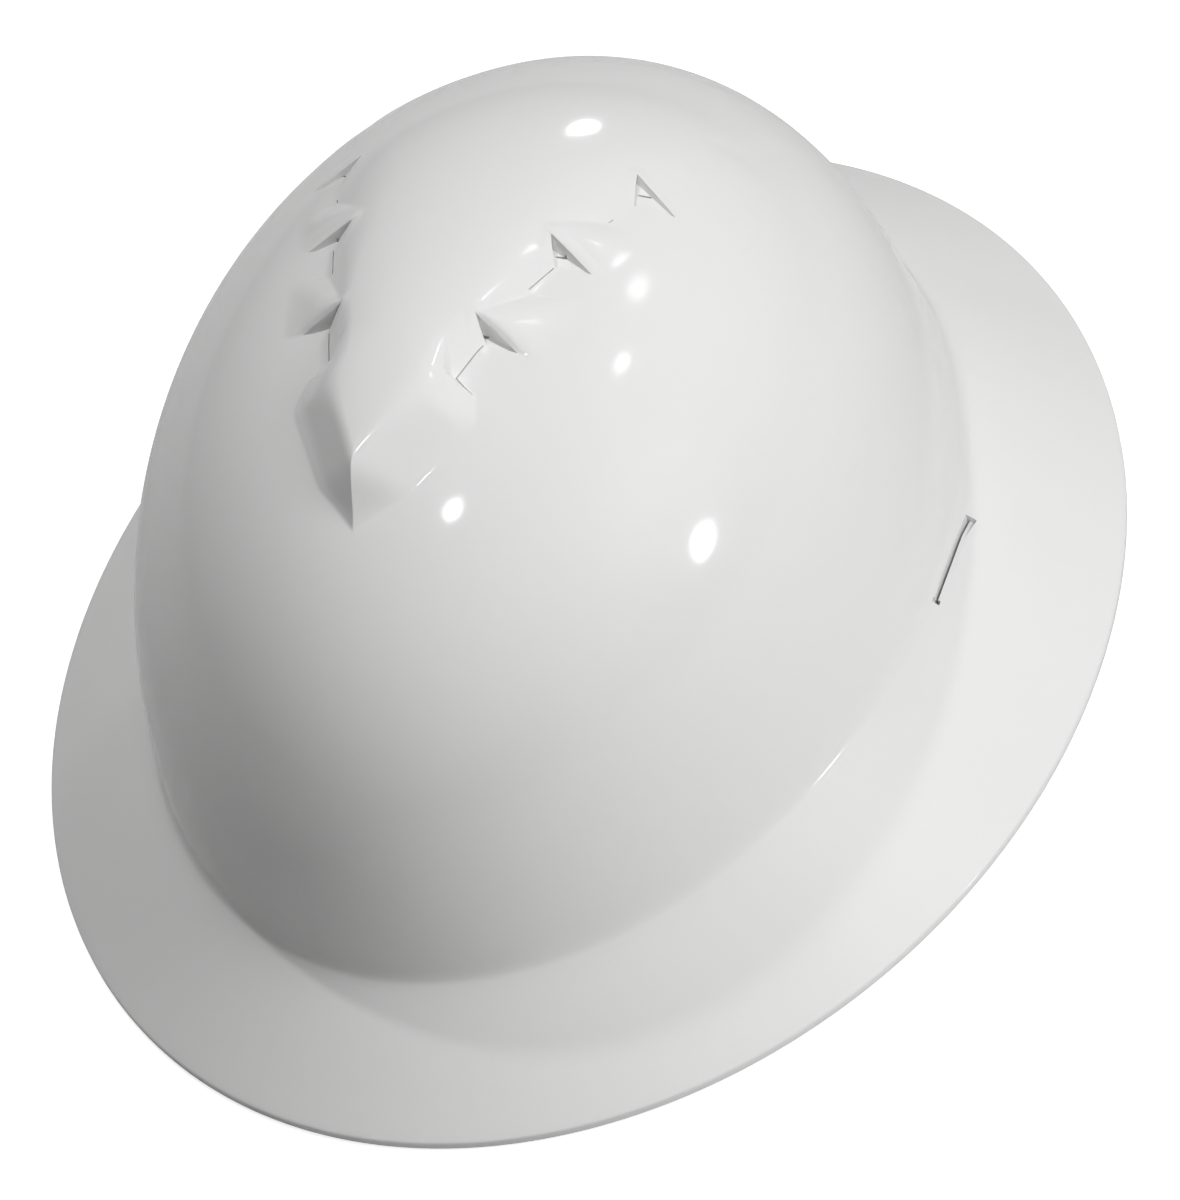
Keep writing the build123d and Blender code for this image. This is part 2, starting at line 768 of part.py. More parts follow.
def make_screw():
    """Screw from the inside, through the pinion into the knob."""
    near = bead_x - pinion_thickness / 2
    head = rear_cylinder(screw_head_radius, near - screw_head_height, near)
    place = Pos(0, near - screw_head_height, ratchet_height)
    recess = place * Box(screw_head_radius, screw_radius, screw_radius)
    shaft = rear_cylinder(screw_radius, near, knob_near + knob_groove_depth / 2)
    return head + shaft - recess


def make_spring():
    """Flat ring on the boss, with two bumps that click on the knob."""
    ring = rear_cylinder(spring_outer, boss_face, boss_face + spring_thickness)
    ring = ring - rear_cylinder(spring_inner, boss_face, boss_face + spring_thickness)
    reach = (spring_inner + spring_outer) / 2
    for side in (-1, 1):
        place = Pos(side * reach, boss_face + spring_bump_height / 2, ratchet_height)
        ring = ring + place * Box(spring_bump_size, spring_bump_height, spring_bump_size)
    return ring


def make_nape_pad():
    """Pad on the inside of the ratchet housing."""
    far = channel_inner - housing_wall - soft_gap
    low = case_low + nape_pad_margin
    return rear_ring(far - nape_pad_thickness, far, nape_pad_half_angle, low, case_high - nape_pad_margin)


def build_parts():
    """Every node of the hat, by name."""
    parts = {"shell": make_shell()}
    parts["crown_strap_left"] = key_frame(-key_angle) * make_strap(0)
    parts["crown_strap_right"] = key_frame(key_angle) * make_strap(strap_thickness + strap_loop_gap)
    parts["crown_pad"] = make_crown_pad()
    for name, angle in key_angles.items():
        parts["key_" + name] = key_frame(angle) * make_key()
    parts["headband"] = make_headband()
    parts["brow_pad"] = make_brow_pad()
    parts["temple_pin_left"] = make_temple_pin()
    parts["temple_pin_right"] = mirror(make_temple_pin(), Plane.YZ)
    parts["temple_link_left"] = make_temple_link()
    parts["temple_link_right"] = mirror(make_temple_link(), Plane.YZ)
    parts["nape_arm_left"] = make_arm(True)
    parts["nape_arm_right"] = make_arm(False)
    parts["ratchet_housing"] = make_housing()
    parts["ratchet_cover"] = make_cover()
    parts["ratchet_pinion"] = make_pinion()
    parts["ratchet_knob"] = make_knob()
    parts["knob_grip"] = make_grip()
    parts["knob_screw"] = make_screw()
    parts["detent_spring"] = make_spring()
    parts["nape_pad"] = make_nape_pad()
    return parts


os.makedirs("parts", exist_ok=True)
for node_name, shape in build_parts().items():
    export_step(shape, "parts/" + node_name + ".step")
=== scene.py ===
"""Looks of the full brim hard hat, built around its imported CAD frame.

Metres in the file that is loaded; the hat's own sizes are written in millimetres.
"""

import math

import bpy
import numpy as np
from bpy.props import FloatProperty, FloatVectorProperty
from mathutils import Matrix, Vector


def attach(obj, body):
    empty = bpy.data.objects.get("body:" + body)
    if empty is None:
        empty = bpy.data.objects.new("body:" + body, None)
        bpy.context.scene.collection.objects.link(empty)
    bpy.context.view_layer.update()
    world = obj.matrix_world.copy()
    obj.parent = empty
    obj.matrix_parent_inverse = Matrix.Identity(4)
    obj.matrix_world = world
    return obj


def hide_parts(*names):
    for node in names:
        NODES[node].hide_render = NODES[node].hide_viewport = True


bl_info = {
    "name": "Full brim hard hat",
    "version": (1, 0, 0),
    "blender": (4, 5, 0),
    "location": "3D View > Sidebar > Hard hat",
    "description": "Builds the looks of a full brim hard hat around its packed frame",
    "category": "Object",
}

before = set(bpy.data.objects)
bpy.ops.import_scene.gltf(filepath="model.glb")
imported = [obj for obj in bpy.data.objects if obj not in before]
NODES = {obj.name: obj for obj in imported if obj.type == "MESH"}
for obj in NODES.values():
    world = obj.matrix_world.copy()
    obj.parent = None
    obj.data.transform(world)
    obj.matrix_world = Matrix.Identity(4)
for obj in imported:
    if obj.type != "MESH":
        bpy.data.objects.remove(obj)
MM = 0.001

# Brim and dome as in the solids: half width, half length and, for the dome, height
BRIM = (139.5, 171.0)
BRIM_RISE = math.tan(math.radians(36.9))
RIM_HEIGHT = 2.2
RIM_WIDTH = 2.0
DOME = (101.6, 134.6, 128.0)
DOME_FORWARD = 5.7
DOME_BASE = 14.5
WALL = 2.8
STEEP, ROUND = 0.61, 0.65
FOOT_FILLET = 1.3
BRIM_START, BRIM_STOP = 0.045, 0.985

# Flare at the dome's foot
FLARE = (102.9, 133.6)
FLARE_FORWARD = 1.5
FLARE_BOTTOM = 28.0
FLARE_HEIGHT = 24.0
FLARE_LEAN = math.tan(math.radians(16.0))

# Inset and height of the rim's section, from the top face round to the underside
RIM_SECTION = (
    (0.22, 2.33),
    (0.06, 2.12),
    (0.0, 1.85),
    (0.0, 0.65),
    (0.08, 0.25),
    (0.3, 0.0),
    (RIM_WIDTH - 0.35, 0.0),
    (RIM_WIDTH - 0.05, 0.12),
    (RIM_WIDTH + 0.15, 0.2),
)
# Inset, and height over the dome's base, of the two rounded edges of the crown's mouth
MOUTH_OUTSIDE = ((0.0, 1.0), (0.1, 0.3), (0.5, 0.0))
MOUTH_INSIDE = ((-0.5, 0.0), (-0.1, 0.3), (0.0, 1.0))

# Crest on the wearer's left in plan, with its foot and its top edge
CREST_TILT = math.tan(math.radians(3.7))
CREST_END = 70.0
PROW_FOOT = ((0, -84.5), (10, -77), (19, -64), (22.5, -58.5), (20.6, -51.2))
PROW_TOP = ((0, -77), (4.8, -69), (10.2, -59.5), (12.6, -51.5))
PROW_OUTLINE = ((-1, -86),) + PROW_FOOT + ((14, -49), (11, -30), (-1, -30))
CORE_FOOT = ((16.5, -50), (38.5, 14.5))
CORE_OUTLINE = ((-1, -54), (18, -50), (41, 14.5), (66, 48), (66, 100), (-1, 100))
CORE_FRONT, CORE_WIDE = -54.5, 62
BACK_HALF, BACK_SPREAD = 42.1, 0.33
# Places along the hat, and there the steepness of the core's side, the squareness of the
# crest's back, and the rounding of the crest's top edge and of its foot
CORE_SLOPE = ((-45, -32, -9, 11, 25), (0.95, 0.92, 0.46, 0.29, 0.27))
BACK_POWER = ((-75, -42), (5.0, 2.2))
TOP_ROUND = ((-64, -50, -42), (1.6, 4.0, 2.0))
FOOT_ROUND = ((-34, -14), (2.4, 0.7))
# Inner, outer and top corner of each vent, then the rear edge of its hood
VENTS = (
    ((19.5, -37.6), (27.6, -37.6), (17.2, -32.5), (31, -21.5), (26, -21.5)),
    ((28.6, -11.8), (36.8, -10.6), (26, -4.1), (40.5, 4.5), (36, 5.5)),
    ((39.2, 14.5), (47.7, 16.3), (36.6, 24.6), (51.3, 50.8), (46.1, 53.5)),
)
HOOD_SLOPE = 0.4
HOOD_SPREAD = np.array((12, 3))
# Room behind a vent's open front: depth under the dome, reach under the core, lean of its floor
VENT_SINK, VENT_UNDER, VENT_LEAN = 0.6, 1.0, 0.42
HOLE_WIDTH, HOLE_DEPTH, HOLE_IN = 0.6, 14, 1.4
# Fine grooves at the foot of the crest: where the prow ends, then along the core
SLITS = (
    ((20.6, -51.2), (16.2, -48.6)),
    ((16.0, -48.8), (19.6, -38.6)),
    ((25.2, -20.8), (28.4, -12.6)),
    ((35.4, 6.2), (36, 7.6)),
)
SLIT_DEPTH, SLIT_HEIGHT = 0.6, 1.6
# How many times narrower, and shorter about a place, the hollow under the crest is than the crest, and
# how much lower it stays
HOLLOW_NARROWER, HOLLOW_SHORTER, HOLLOW_MIDDLE, HOLLOW_DROP = 1.25, 1.12, -20, 0.4
# Lowest place that the crest's shaping touches, and depth of the outside skin
CREST_LOWEST, SKIN = 60, 1.2
# Rise over the dome, and bend over a step, from which the shell's faces are divided
LEAST_RISE, LEAST_BEND, BEND_STEP = 0.03, 0.045, 0.7

# Accessory slots
SLOT_X = 102.9
SLOT_MIDDLE = 4.7
SLOT_LENGTH = 30.0
SLOT_MOUTH = 5.0
SLOT_TOP = RIM_HEIGHT + (BRIM[0] - SLOT_X) * BRIM_RISE
# Depth of the mouth at the slot's front and rear, then length of the notch at the slot's rear, and its
# depth and width at both of its ends
MOUTH_DEPTHS = (0.5, 1.5)
NOTCH_LENGTH, NOTCH = 10, ((2.9, 2.6), (0.8, 0.9))
POCKET_WALL, POCKET_FAR, POCKET_DEPTH = 2.6, 6.5, 12

# Suspension keys: direction of each from the crown's middle, sockets and rooms for their tongues
KEY_DIAGONALS = {"front_left": -50, "front_right": -130, "rear_left": 50, "rear_right": 130}
KEY_REACH = 99.4
CROWN_FORWARD = 12.0
SOCKET_HALF, SOCKET_HEIGHTS, SOCKET_BACK, SOCKET_BURIED = 8.05, (53.25, 67.75), 2.05, 1.5
ROOM_HALF, ROOM_HEIGHTS, ROOM_REACHES = 6.25, (52.0, 66.25), (-0.25, 2.75)

# Crown straps: distance of leg, tail and loop from the middle, heights, and turn of their centre line
LEG = 96.15
TAIL = 97.65
TAIL_END = 37.6
LOOP_LOW, LOOP_HIGH = 35.95, 43.05
LOOP_FAR = 102.95
TURN = 0.75
ARCH_BASE = 60.0
ARCH_HEIGHT = 46.25
STRAP_LIFT = 1.8
FULL_WIDTH = 19
STITCH_ROWS = (38.4, 41.2)
STITCH_LENGTH, STITCH_HEIGHT, STITCH_DEPTH = 1.7, 0.5, 0.3

# Pads: thickness each side of the middle, share of it at the edges, share that a channel presses in
PAD_HALF, PAD_EDGE, PAD_PRESS = 2.2, 0.42, 0.5
CROWN_PAD_RADIUS, CROWN_PAD_HALF, CROWN_PAD_EDGE = 26.8, 1.7, 0.4
CROWN_PAD_RISE, CROWN_PAD_BOW = 43.4, 93.3

# Photograph's camera, fitted to the hat: azimuth, elevation and roll in degrees, focus in pixels
VIEW_BACK = (31.99, 46.01, -18.09)
VIEW_FOCUS = 4291.8
VIEW_SHIFT = (-3.84, 8.01)
VIEW_DISTANCE = 1112.62
VIEW_ORIGIN = (0, 0.66, 14.5)
PHOTO_HEIGHT = 1200
SENSOR = 36


def bezier(t):
    """Radius and height of the dome's profile, as shares."""
    radius = (1 - t) ** 3 + 3 * (1 - t) ** 2 * t + 3 * (1 - t) * t ** 2 * ROUND
    height = 3 * (1 - t) ** 2 * t * STEEP + 3 * (1 - t) * t ** 2 + t ** 3
    return radius, height


PROFILE_STEPS = np.linspace(0, 1, 2001)
PROFILE_RADIUS, PROFILE_HEIGHT = bezier(PROFILE_STEPS)


def dome_height(x, y, inset=0.0):
    """Height of the dome's surface over a place, smaller all round by inset."""
    radius = np.hypot(x / (DOME[0] - inset), (y + DOME_FORWARD) / (DOME[1] - inset))
    return DOME_BASE + (DOME[2] - inset) * np.interp(-radius, -PROFILE_RADIUS, PROFILE_HEIGHT)


def smooth_min(a, b, k):
    """Lower of two heights, with a rounded change of k."""
    h = np.clip(0.5 + 0.5 * (b - a) / k, 0, 1)
    return b + (a - b) * h - k * h * (1 - h)


def smooth_max(a, b, k):
    """Higher of two heights, with a rounded change of k."""
    return -smooth_min(-a, -b, k)


def lift_height(x, y):
    """Height of the crest's raised top over the dome."""
    return CREST_TILT * (CREST_END - y)


def crest_back(x, y):
    """Height of the crest's round back over the dome, teeth included."""
    share = np.clip(np.abs(x) / (BACK_HALF + BACK_SPREAD * y), 0, 1.2)
    return lift_height(x, y) * (1 - share ** np.interp(y, *BACK_POWER))


def point_on(place, raised=None):
    """Point over a place in plan, on the dome or raised from it."""
    height = dome_height(*place) + (raised(*place) if raised else 0)
    return np.array([place[0], place[1], float(height)])


def plane_of(a, b, c):
    """Normal and offset of the plane through three points, facing up."""
    normal = np.cross(b - a, c - a)
    normal = normal / np.linalg.norm(normal)
    if normal[2] < 0:
        normal = -normal
    return normal, float(normal @ a)


def plane_height(plane, x, y):
    normal, offset = plane
    return (offset - normal[0] * x - normal[1] * y) / max(normal[2], 1e-6)


def from_edge(a, b, x, y):
    """Signed distance in plan from the line through two places, positive towards the front."""
    dx, dy = b[0] - a[0], b[1] - a[1]
    return ((y - a[1]) * dx - (x - a[0]) * dy) / math.hypot(dx, dy)


def footprint(outline, x, y, margin):
    """Mask that is 1 inside an outline in plan and falls to 0 over a margin outside it."""
    points = np.array(outline, float)
    inside = np.zeros(np.shape(x), bool)
    far = np.full(np.shape(x), 1e9)
    for (ax, ay), (bx, by) in zip(points, np.roll(points, -1, axis=0)):
        dx, dy = bx - ax, by - ay
        along = np.clip(((x - ax) * dx + (y - ay) * dy) / (dx * dx + dy * dy), 0, 1)
        far = np.minimum(far, np.hypot(x - ax - along * dx, y - ay - along * dy))
        crosses = (ay > y) != (by > y)
        inside ^= crosses & (x < ax + (y - ay) * dx / (dy if dy else 1e-9))
    return np.where(inside, 1.0, np.clip(1 - far / margin, 0, 1))


def masked(height, outline, x, y, margin=6.0):
    """Height kept inside an outline, and well under the dome away from it."""
    mask = footprint(outline, x, y, margin)
    return np.clip(height, -margin, 99) * mask - margin * (1 - mask)


def prow_height(x, y, base):
    """Height over the dome of the crest's faceted prow, which ends at the first slit."""
    low, middle, high, rear = [
        plane_height(plane_of(point_on(foot), point_on(next_foot), point_on(top, lift_height)), x, y) - base
        for foot, next_foot, top in zip(PROW_FOOT, PROW_FOOT[1:], PROW_TOP)
    ]
    prow = smooth_min(smooth_min(low, middle, 2.0), high, 2.0)
    prow = smooth_min(prow, rear, 3.0)
    start, end = SLITS[0]
    prow = smooth_min(prow, np.maximum(from_edge(start, end, x, y), end[0] - x) * 3, 0.3)
    return masked(prow, PROW_OUTLINE, x, y)


def core_height(x, y):
    """Height over the dome of the core, whose sloping side is steeper towards the front."""
    (ax, ay), (bx, by) = CORE_FOOT
    foot = ax + (bx - ax) * (y - ay) / (by - ay)
    core = smooth_min(np.interp(y, *CORE_SLOPE) * (foot - x), (y - CORE_FRONT) * 4, 1.5)
    return masked(core, CORE_OUTLINE, x, y)


def front_plane(row):
    """Open front of one hood."""
    inner, outer, top = row[:3]
    return plane_of(point_on(inner), point_on(outer), point_on(top, crest_back))


def hood_height(row, x, y, base):
    """Height over the dome of one hood, from its rear edge to its open front."""
    inner, outer, top, rear, rear_inner = row
    front = plane_height(front_plane(row), x, y) - base
    hood = smooth_min(from_edge(rear, rear_inner, x, y) * HOOD_SLOPE, front, 0.2)
    far = (outer + HOOD_SPREAD, rear + HOOD_SPREAD)
    outline = (inner, outer, *far, rear, rear_inner, (0, rear_inner[1]), (0, top[1]), top)
    return masked(hood, outline, x, y)


def crest_height(x, y):
    """Height of the crest over the dome, with its edges rounded."""
    x = np.abs(x)
    base = dome_height(x, y)
    body = smooth_max(prow_height(x, y, base), core_height(x, y), 1.0)
    crease = np.zeros_like(base)
    for row in VENTS:
        body = smooth_max(body, hood_height(row, x, y, base), 0.4)
        crease = np.maximum(crease, footprint(row[:3], x, y, 3.0))
    rounding = np.interp(y, *TOP_ROUND)
    crest = smooth_min(body, crest_back(x, y), rounding - (rounding - 0.3) * crease)
    crest = smooth_min(crest, (CORE_WIDE - x) * 0.16, 1.2)
    rounding = np.interp(y, *FOOT_ROUND)
    return smooth_max(crest, np.zeros_like(crest), rounding - (rounding - 0.4) * crease)


def last_passing(test, low, high):
    """Largest value between two bounds that still passes a test, found by halving."""
    for _ in range(40):
        middle = (low + high) / 2
        passed = test(middle)
        low, high = np.where(passed, middle, low), np.where(passed, high, middle)
    return low


def brim_inset(x, y):
    """How far a place lies inside the brim's outline."""
    def inside(inset):
        return (x / (BRIM[0] - inset)) ** 2 + (y / (BRIM[1] - inset)) ** 2 < 1

    return last_passing(inside, np.zeros_like(x), np.full_like(x, 80.0))


def wall_share(angle, z):
    """Share of the dome's half sizes at which its outside stands, flare included, at a height."""
    height = np.clip((z - DOME_BASE) / DOME[2], 0, 1)
    share = np.interp(height, PROFILE_HEIGHT, PROFILE_RADIUS)
    x, y = np.cos(angle) * DOME[0], np.sin(angle) * DOME[1]
    shrink = (z - FLARE_BOTTOM) * FLARE_LEAN
    a, b = FLARE[0] - shrink, FLARE[1] - shrink
    shift = DOME_FORWARD - FLARE_FORWARD
    p, q, r = (x / a) ** 2 + (y / b) ** 2, -2 * y * shift / b ** 2, (shift / b) ** 2 - 1
    flare = (-q + np.sqrt(q * q - 4 * p * r)) / (2 * p)
    return smooth_max(share, flare, 0.004)


def place_on(angle, share, sizes=DOME, inset=0.0):
    """Place in plan on an oval about the dome's middle, at a share of its half sizes less inset."""
    x, y = np.cos(angle) * (sizes[0] - inset), np.sin(angle) * (sizes[1] - inset)
    return x * share, y * share - DOME_FORWARD


def foot_of_wall(angle, drop=0.0, flared=True):
    """Place where the dome's outside meets the brim, drop under its top face."""
    def on_wall(z):
        return place_on(angle, wall_share(angle, z) if flared else 1)

    def in_brim(z):
        return z <= RIM_HEIGHT - drop + brim_inset(*on_wall(z)) * BRIM_RISE

    z = last_passing(in_brim, np.full_like(angle, 5.0), np.full_like(angle, 60.0))
    return *on_wall(z), z


def crown_rings(angle, foot_z):
    """Rings of the dome's outside, from its top down to the fillet at its foot."""
    foot_t = np.interp(np.clip((foot_z - DOME_BASE) / DOME[2], 0, 1), PROFILE_HEIGHT, PROFILE_STEPS)
    rings = []
    for step in 1 - np.linspace(0, 1, 101)[:-1]:
        t = foot_t + (1 - foot_t) * step ** 0.93
        z = np.maximum(DOME_BASE + DOME[2] * bezier(t)[1], foot_z + FOOT_FILLET)
        share = np.where(z > FLARE_BOTTOM + FLARE_HEIGHT, bezier(t)[0], wall_share(angle, z))
        rings.append((*place_on(angle, share), z))
    return rings


def brim_rings(angle, foot, upper):
    """Rings of the fillet under the crown, of the brim's top face, its rim and its underside."""
    rim_x, rim_y = np.cos(angle) * BRIM[0], np.sin(angle) * BRIM[1]

    def on_brim(share):
        x, y = foot[0] + (rim_x - foot[0]) * share, foot[1] + (rim_y - foot[1]) * share
        return x, y, RIM_HEIGHT + brim_inset(x, y) * BRIM_RISE

    rings = []
    for t in (0.2, 0.4, 0.6, 0.8):
        ends = zip(upper, foot, on_brim(BRIM_START))
        rings.append(tuple(u * (1 - t) ** 2 + f * 2 * t * (1 - t) + o * t * t for u, f, o in ends))
    rings += [on_brim(share) for share in np.linspace(BRIM_START, BRIM_STOP, 22)]
    for inset, z in RIM_SECTION:
        x, y = np.cos(angle) * (BRIM[0] - inset), np.sin(angle) * (BRIM[1] - inset)
        rings.append((x, y, np.full_like(x, z)))
    start_x, start_y, _ = rings[-1]
    under_x, under_y, _ = foot_of_wall(angle, RIM_WIDTH * BRIM_RISE + RIM_HEIGHT, flared=False)
    for share in np.linspace(0, 1, 13)[1:]:
        x, y = start_x + (under_x - start_x) * share, start_y + (under_y - start_y) * share
        rings.append((x, y, (brim_inset(x, y) - RIM_WIDTH) * BRIM_RISE))
    return rings


def inside_rings(angle):
    """Rings of the crown's rounded mouth and of its inside, up to the top."""
    inner = [size - WALL for size in DOME]
    level = np.ones_like(angle)
    rings = [(*place_on(angle, 1 - inset / DOME[0]), level * (DOME_BASE + z)) for inset, z in MOUTH_OUTSIDE]
    for inset, z in MOUTH_INSIDE:
        rings.append((*place_on(angle, 1, inner, inset), level * (DOME_BASE + z)))
    for radius, height in zip(*bezier(np.linspace(0.03, 1, 64))):
        rings.append((*place_on(angle, radius, inner), level * (DOME_BASE + inner[2] * height)))
    return rings


def shell_rings(segments):
    """Rings of the closed shell, from the crown's outside over the brim to the crown's inside."""
    angle = np.linspace(0, 2 * math.pi, segments + 1)
    foot = foot_of_wall(angle)
    rings = crown_rings(angle, foot[2])
    return rings + brim_rings(angle, foot, rings[-1]) + inside_rings(angle)


def active():
    return bpy.context.view_layer.objects.active


def only(piece):
    """Select one piece alone and make it active."""
    bpy.ops.object.select_all(action="DESELECT")
    piece.select_set(True)
    bpy.context.view_layer.objects.active = piece


def coordinates(piece):
    co = np.zeros(len(piece.data.vertices) * 3)
    piece.data.vertices.foreach_get("co", co)
    return co.reshape(-1, 3)


def set_coordinates(piece, co):
    piece.data.vertices.foreach_set("co", np.asarray(co, float).ravel())
    piece.data.update()


def edit(piece):
    only(piece)
    bpy.ops.object.mode_set(mode="EDIT")
    bpy.ops.mesh.select_all(action="SELECT")


def done():
    bpy.ops.object.mode_set(mode="OBJECT")


def close_seams(piece, ends=True):
    """Weld seams and poles, close open ends and turn the faces outwards."""
    edit(piece)
    bpy.ops.mesh.remove_doubles(threshold=1e-6)
    if ends:
        bpy.ops.mesh.fill_holes(sides=0)
    bpy.ops.mesh.normals_make_consistent(inside=False)
    done()


def smooth(piece, degrees=None):
    """Smooth shading, up to an angle where one is given."""
    only(piece)
    if degrees:
        bpy.ops.object.shade_smooth_by_angle(angle=math.radians(degrees))
    else:
        bpy.ops.object.shade_smooth()


def grid_piece(name, across, along):
    """Grid primitive, ready to be bent into a surface; returns it with each vertex's two shares."""
    bpy.ops.object.select_all(action="DESELECT")
    bpy.ops.mesh.primitive_grid_add(x_subdivisions=across, y_subdivisions=along, size=2)
    piece = active()
    piece.name = name
    piece.data.name = name
    co = coordinates(piece)
    return piece, (co[:, 0] + 1) / 2, (co[:, 1] + 1) / 2


def hull_piece(name, points):
    """Closed convex solid round a few points in millimetres."""
    bpy.ops.object.select_all(action="DESELECT")
    bpy.ops.mesh.primitive_cube_add(size=1)
    piece = active()
    piece.name = name
    mesh = bpy.data.meshes.new(name)
    mesh.from_pydata([tuple(c * MM for c in p) for p in points], [], [])
    piece.data = mesh
    edit(piece)
    bpy.ops.mesh.convex_hull()
    done()
    return piece


def join(pieces, name):
    bpy.ops.object.select_all(action="DESELECT")
    for piece in pieces:
        piece.select_set(True)
    bpy.context.view_layer.objects.active = pieces[0]
    bpy.ops.object.join()
    pieces[0].name = name
    return pieces[0]


def boolean(piece, others, operation):
    """Add or cut away a few closed pieces at once."""
    other = join(others, "others")
    modifier = piece.modifiers.new("boolean", "BOOLEAN")
    modifier.operation = operation
    modifier.object = other
    modifier.solver = "MANIFOLD"
    only(piece)
    bpy.ops.object.modifier_apply(modifier=modifier.name)
    bpy.data.objects.remove(other)


def copy_of(piece):
    only(piece)
    bpy.ops.object.duplicate()
    return active()


def both_sides(pieces):
    """The pieces and their copies on the other side of the hat's middle."""
    twins = []
    for piece in pieces:
        twin = copy_of(piece)
        set_coordinates(twin, coordinates(twin) * (-1, 1, 1))
        edit(twin)
        bpy.ops.mesh.flip_normals()
        done()
        twins.append(twin)
    return pieces + twins


def vent_cutter(row):
    """Room behind the open front of one hood, reaching a little under the core."""
    inner, outer, top = [np.array(place) for place in row[:3]]
    corners = [point_on(inner), point_on(outer), point_on(top, crest_back)]
    edge = outer - top
    forward = np.array([edge[1], -edge[0]]) / np.hypot(*edge)
    points = [corner + front_plane(row)[0] * 0.5 for corner in corners]
    for corner, under in zip(corners, (VENT_UNDER, 0, VENT_UNDER)):
        height = corner[2] - float(dome_height(*corner[:2])) + VENT_SINK
        place = corner[:2] + forward * VENT_LEAN * height - (under, 0)
        points.append((*place, float(dome_height(*place)) - VENT_SINK))
    return hull_piece("vent", points)


def air_hole(row):
    """Narrow hole through the dome, in the floor of one hood's room."""
    inner, outer, top = [np.array(place) for place in row[:3]]
    points = []
    for x, y in ((inner + top) / 2, (outer + top) / 2 - (HOLE_IN, 0)):
        z = float(dome_height(x, y))
        points += [(x, y - step, level) for step in (0, HOLE_WIDTH) for level in (z - HOLE_DEPTH, z)]
    return hull_piece("air_hole", points)


def slit_cutter(start, end, width):
    """Fine groove along the foot of the crest."""
    (ax, ay), (bx, by) = start, end
    side = np.array([by - ay, ax - bx]) / math.hypot(bx - ax, by - ay) * width
    points = []
    for x, y in ((ax, ay), (bx, by)):
        z = float(dome_height(x, y))
        for dx, dy in ((0, 0), side):
            points += [(x + dx, y + dy, z - SLIT_DEPTH), (x + dx, y + dy, z + SLIT_HEIGHT)]
    return hull_piece("slit", points)


def slot_cutters(side, gap):
    """Of an accessory slot: its sloping mouth, rear notch, gap along its foot and eye at its front."""
    front, rear = SLOT_MIDDLE - SLOT_LENGTH / 2, SLOT_MIDDLE + SLOT_LENGTH / 2

    def cutter(name, places):
        return hull_piece(name, [(side * (SLOT_X + out), y, SLOT_TOP - out * BRIM_RISE - drop)
                                 for out, y, drop in places])

    def block(name, outs, ys, drops):
        return cutter(name, [(out, y, drop) for y in ys for out in outs for drop in drops])

    mouth, notch = [], []
    for y, deep in zip((front, rear), MOUTH_DEPTHS):
        mouth += [(0, y, deep), (0, y, -6), (SLOT_MOUTH, y, 0), (SLOT_MOUTH, y, -6)]
    for y, (deep, wide) in zip((rear, rear - NOTCH_LENGTH), NOTCH):
        notch += [(0, y, deep), (0, y, -1), (wide, y, deep - 0.6), (wide, y, -1)]
    return (
        cutter("mouth", mouth),
        cutter("notch", notch),
        block("gap", (0, gap), (front, rear), (0, 16)),
        block("eye", (-0.2, 1.3), (front - 0.1, front + 1.3), (-1, 4)),
    )


def slot_pocket(side):
    """Thickened pocket under the brim, round an accessory slot."""
    half = SLOT_LENGTH / 2 + POCKET_WALL
    points = []
    for x in (SLOT_X - POCKET_WALL, SLOT_X + POCKET_FAR):
        for y in (SLOT_MIDDLE - half, SLOT_MIDDLE + half):
            top = RIM_HEIGHT + float(brim_inset(np.array([x]), np.array([y]))[0]) * BRIM_RISE - 0.8
            points += [(side * x, y, SLOT_TOP - POCKET_DEPTH), (side * x, y, top)]
    return hull_piece("pocket", points)


def diagonal(angle):
    """Directions outwards along a key's diagonal and across it."""
    a = math.radians(angle)
    return np.array([math.cos(a), math.sin(a), 0]), np.array([-math.sin(a), math.cos(a), 0])


def key_point(angle, reach, side, z):
    """Place in a key's frame: outwards, sideways, up."""
    out, across = diagonal(angle)
    return out * reach + across * side + (0, -CROWN_FORWARD, z)


def wall_reach(angle, side, z, inset):
    """Distance along a key's diagonal to the dome's surface less inset."""
    def inside(reach):
        x, y, _ = key_point(angle, reach, side, z)
        radius = math.hypot(x / (DOME[0] - inset), (y + DOME_FORWARD) / (DOME[1] - inset))
        return radius < 1 and dome_height(x, y, inset) > z

    return float(last_passing(inside, 60.0, 150.0))


def key_socket(angle):
    """Socket of one suspension key, inside the dome."""
    points = []
    for side in (-SOCKET_HALF, SOCKET_HALF):
        for z in SOCKET_HEIGHTS:
            for reach in (KEY_REACH - SOCKET_BACK, wall_reach(angle, side, z, SOCKET_BURIED)):
                points.append(key_point(angle, reach, side, z))
    return hull_piece("socket", points)


def key_room(angle):
    """Room for the tongue of one key."""
    points = []
    for side in (-ROOM_HALF, ROOM_HALF):
        for z in ROOM_HEIGHTS:
            points += [key_point(angle, KEY_REACH + reach, side, z) for reach in ROOM_REACHES]
    return hull_piece("room", points)


def put(node, **values):
    """Set values on a node's inputs; an underscore stands for a space in their names."""
    for name, value in values.items():
        node.inputs[name.replace("_", " ")].default_value = value
    return node


def add_node(tree, kind, **values):
    return put(tree.nodes.new("ShaderNode" + kind), **values)


def use_group(tree, group, **values):
    node = add_node(tree, "Group")
    node.node_tree = group
    return put(node, **values)


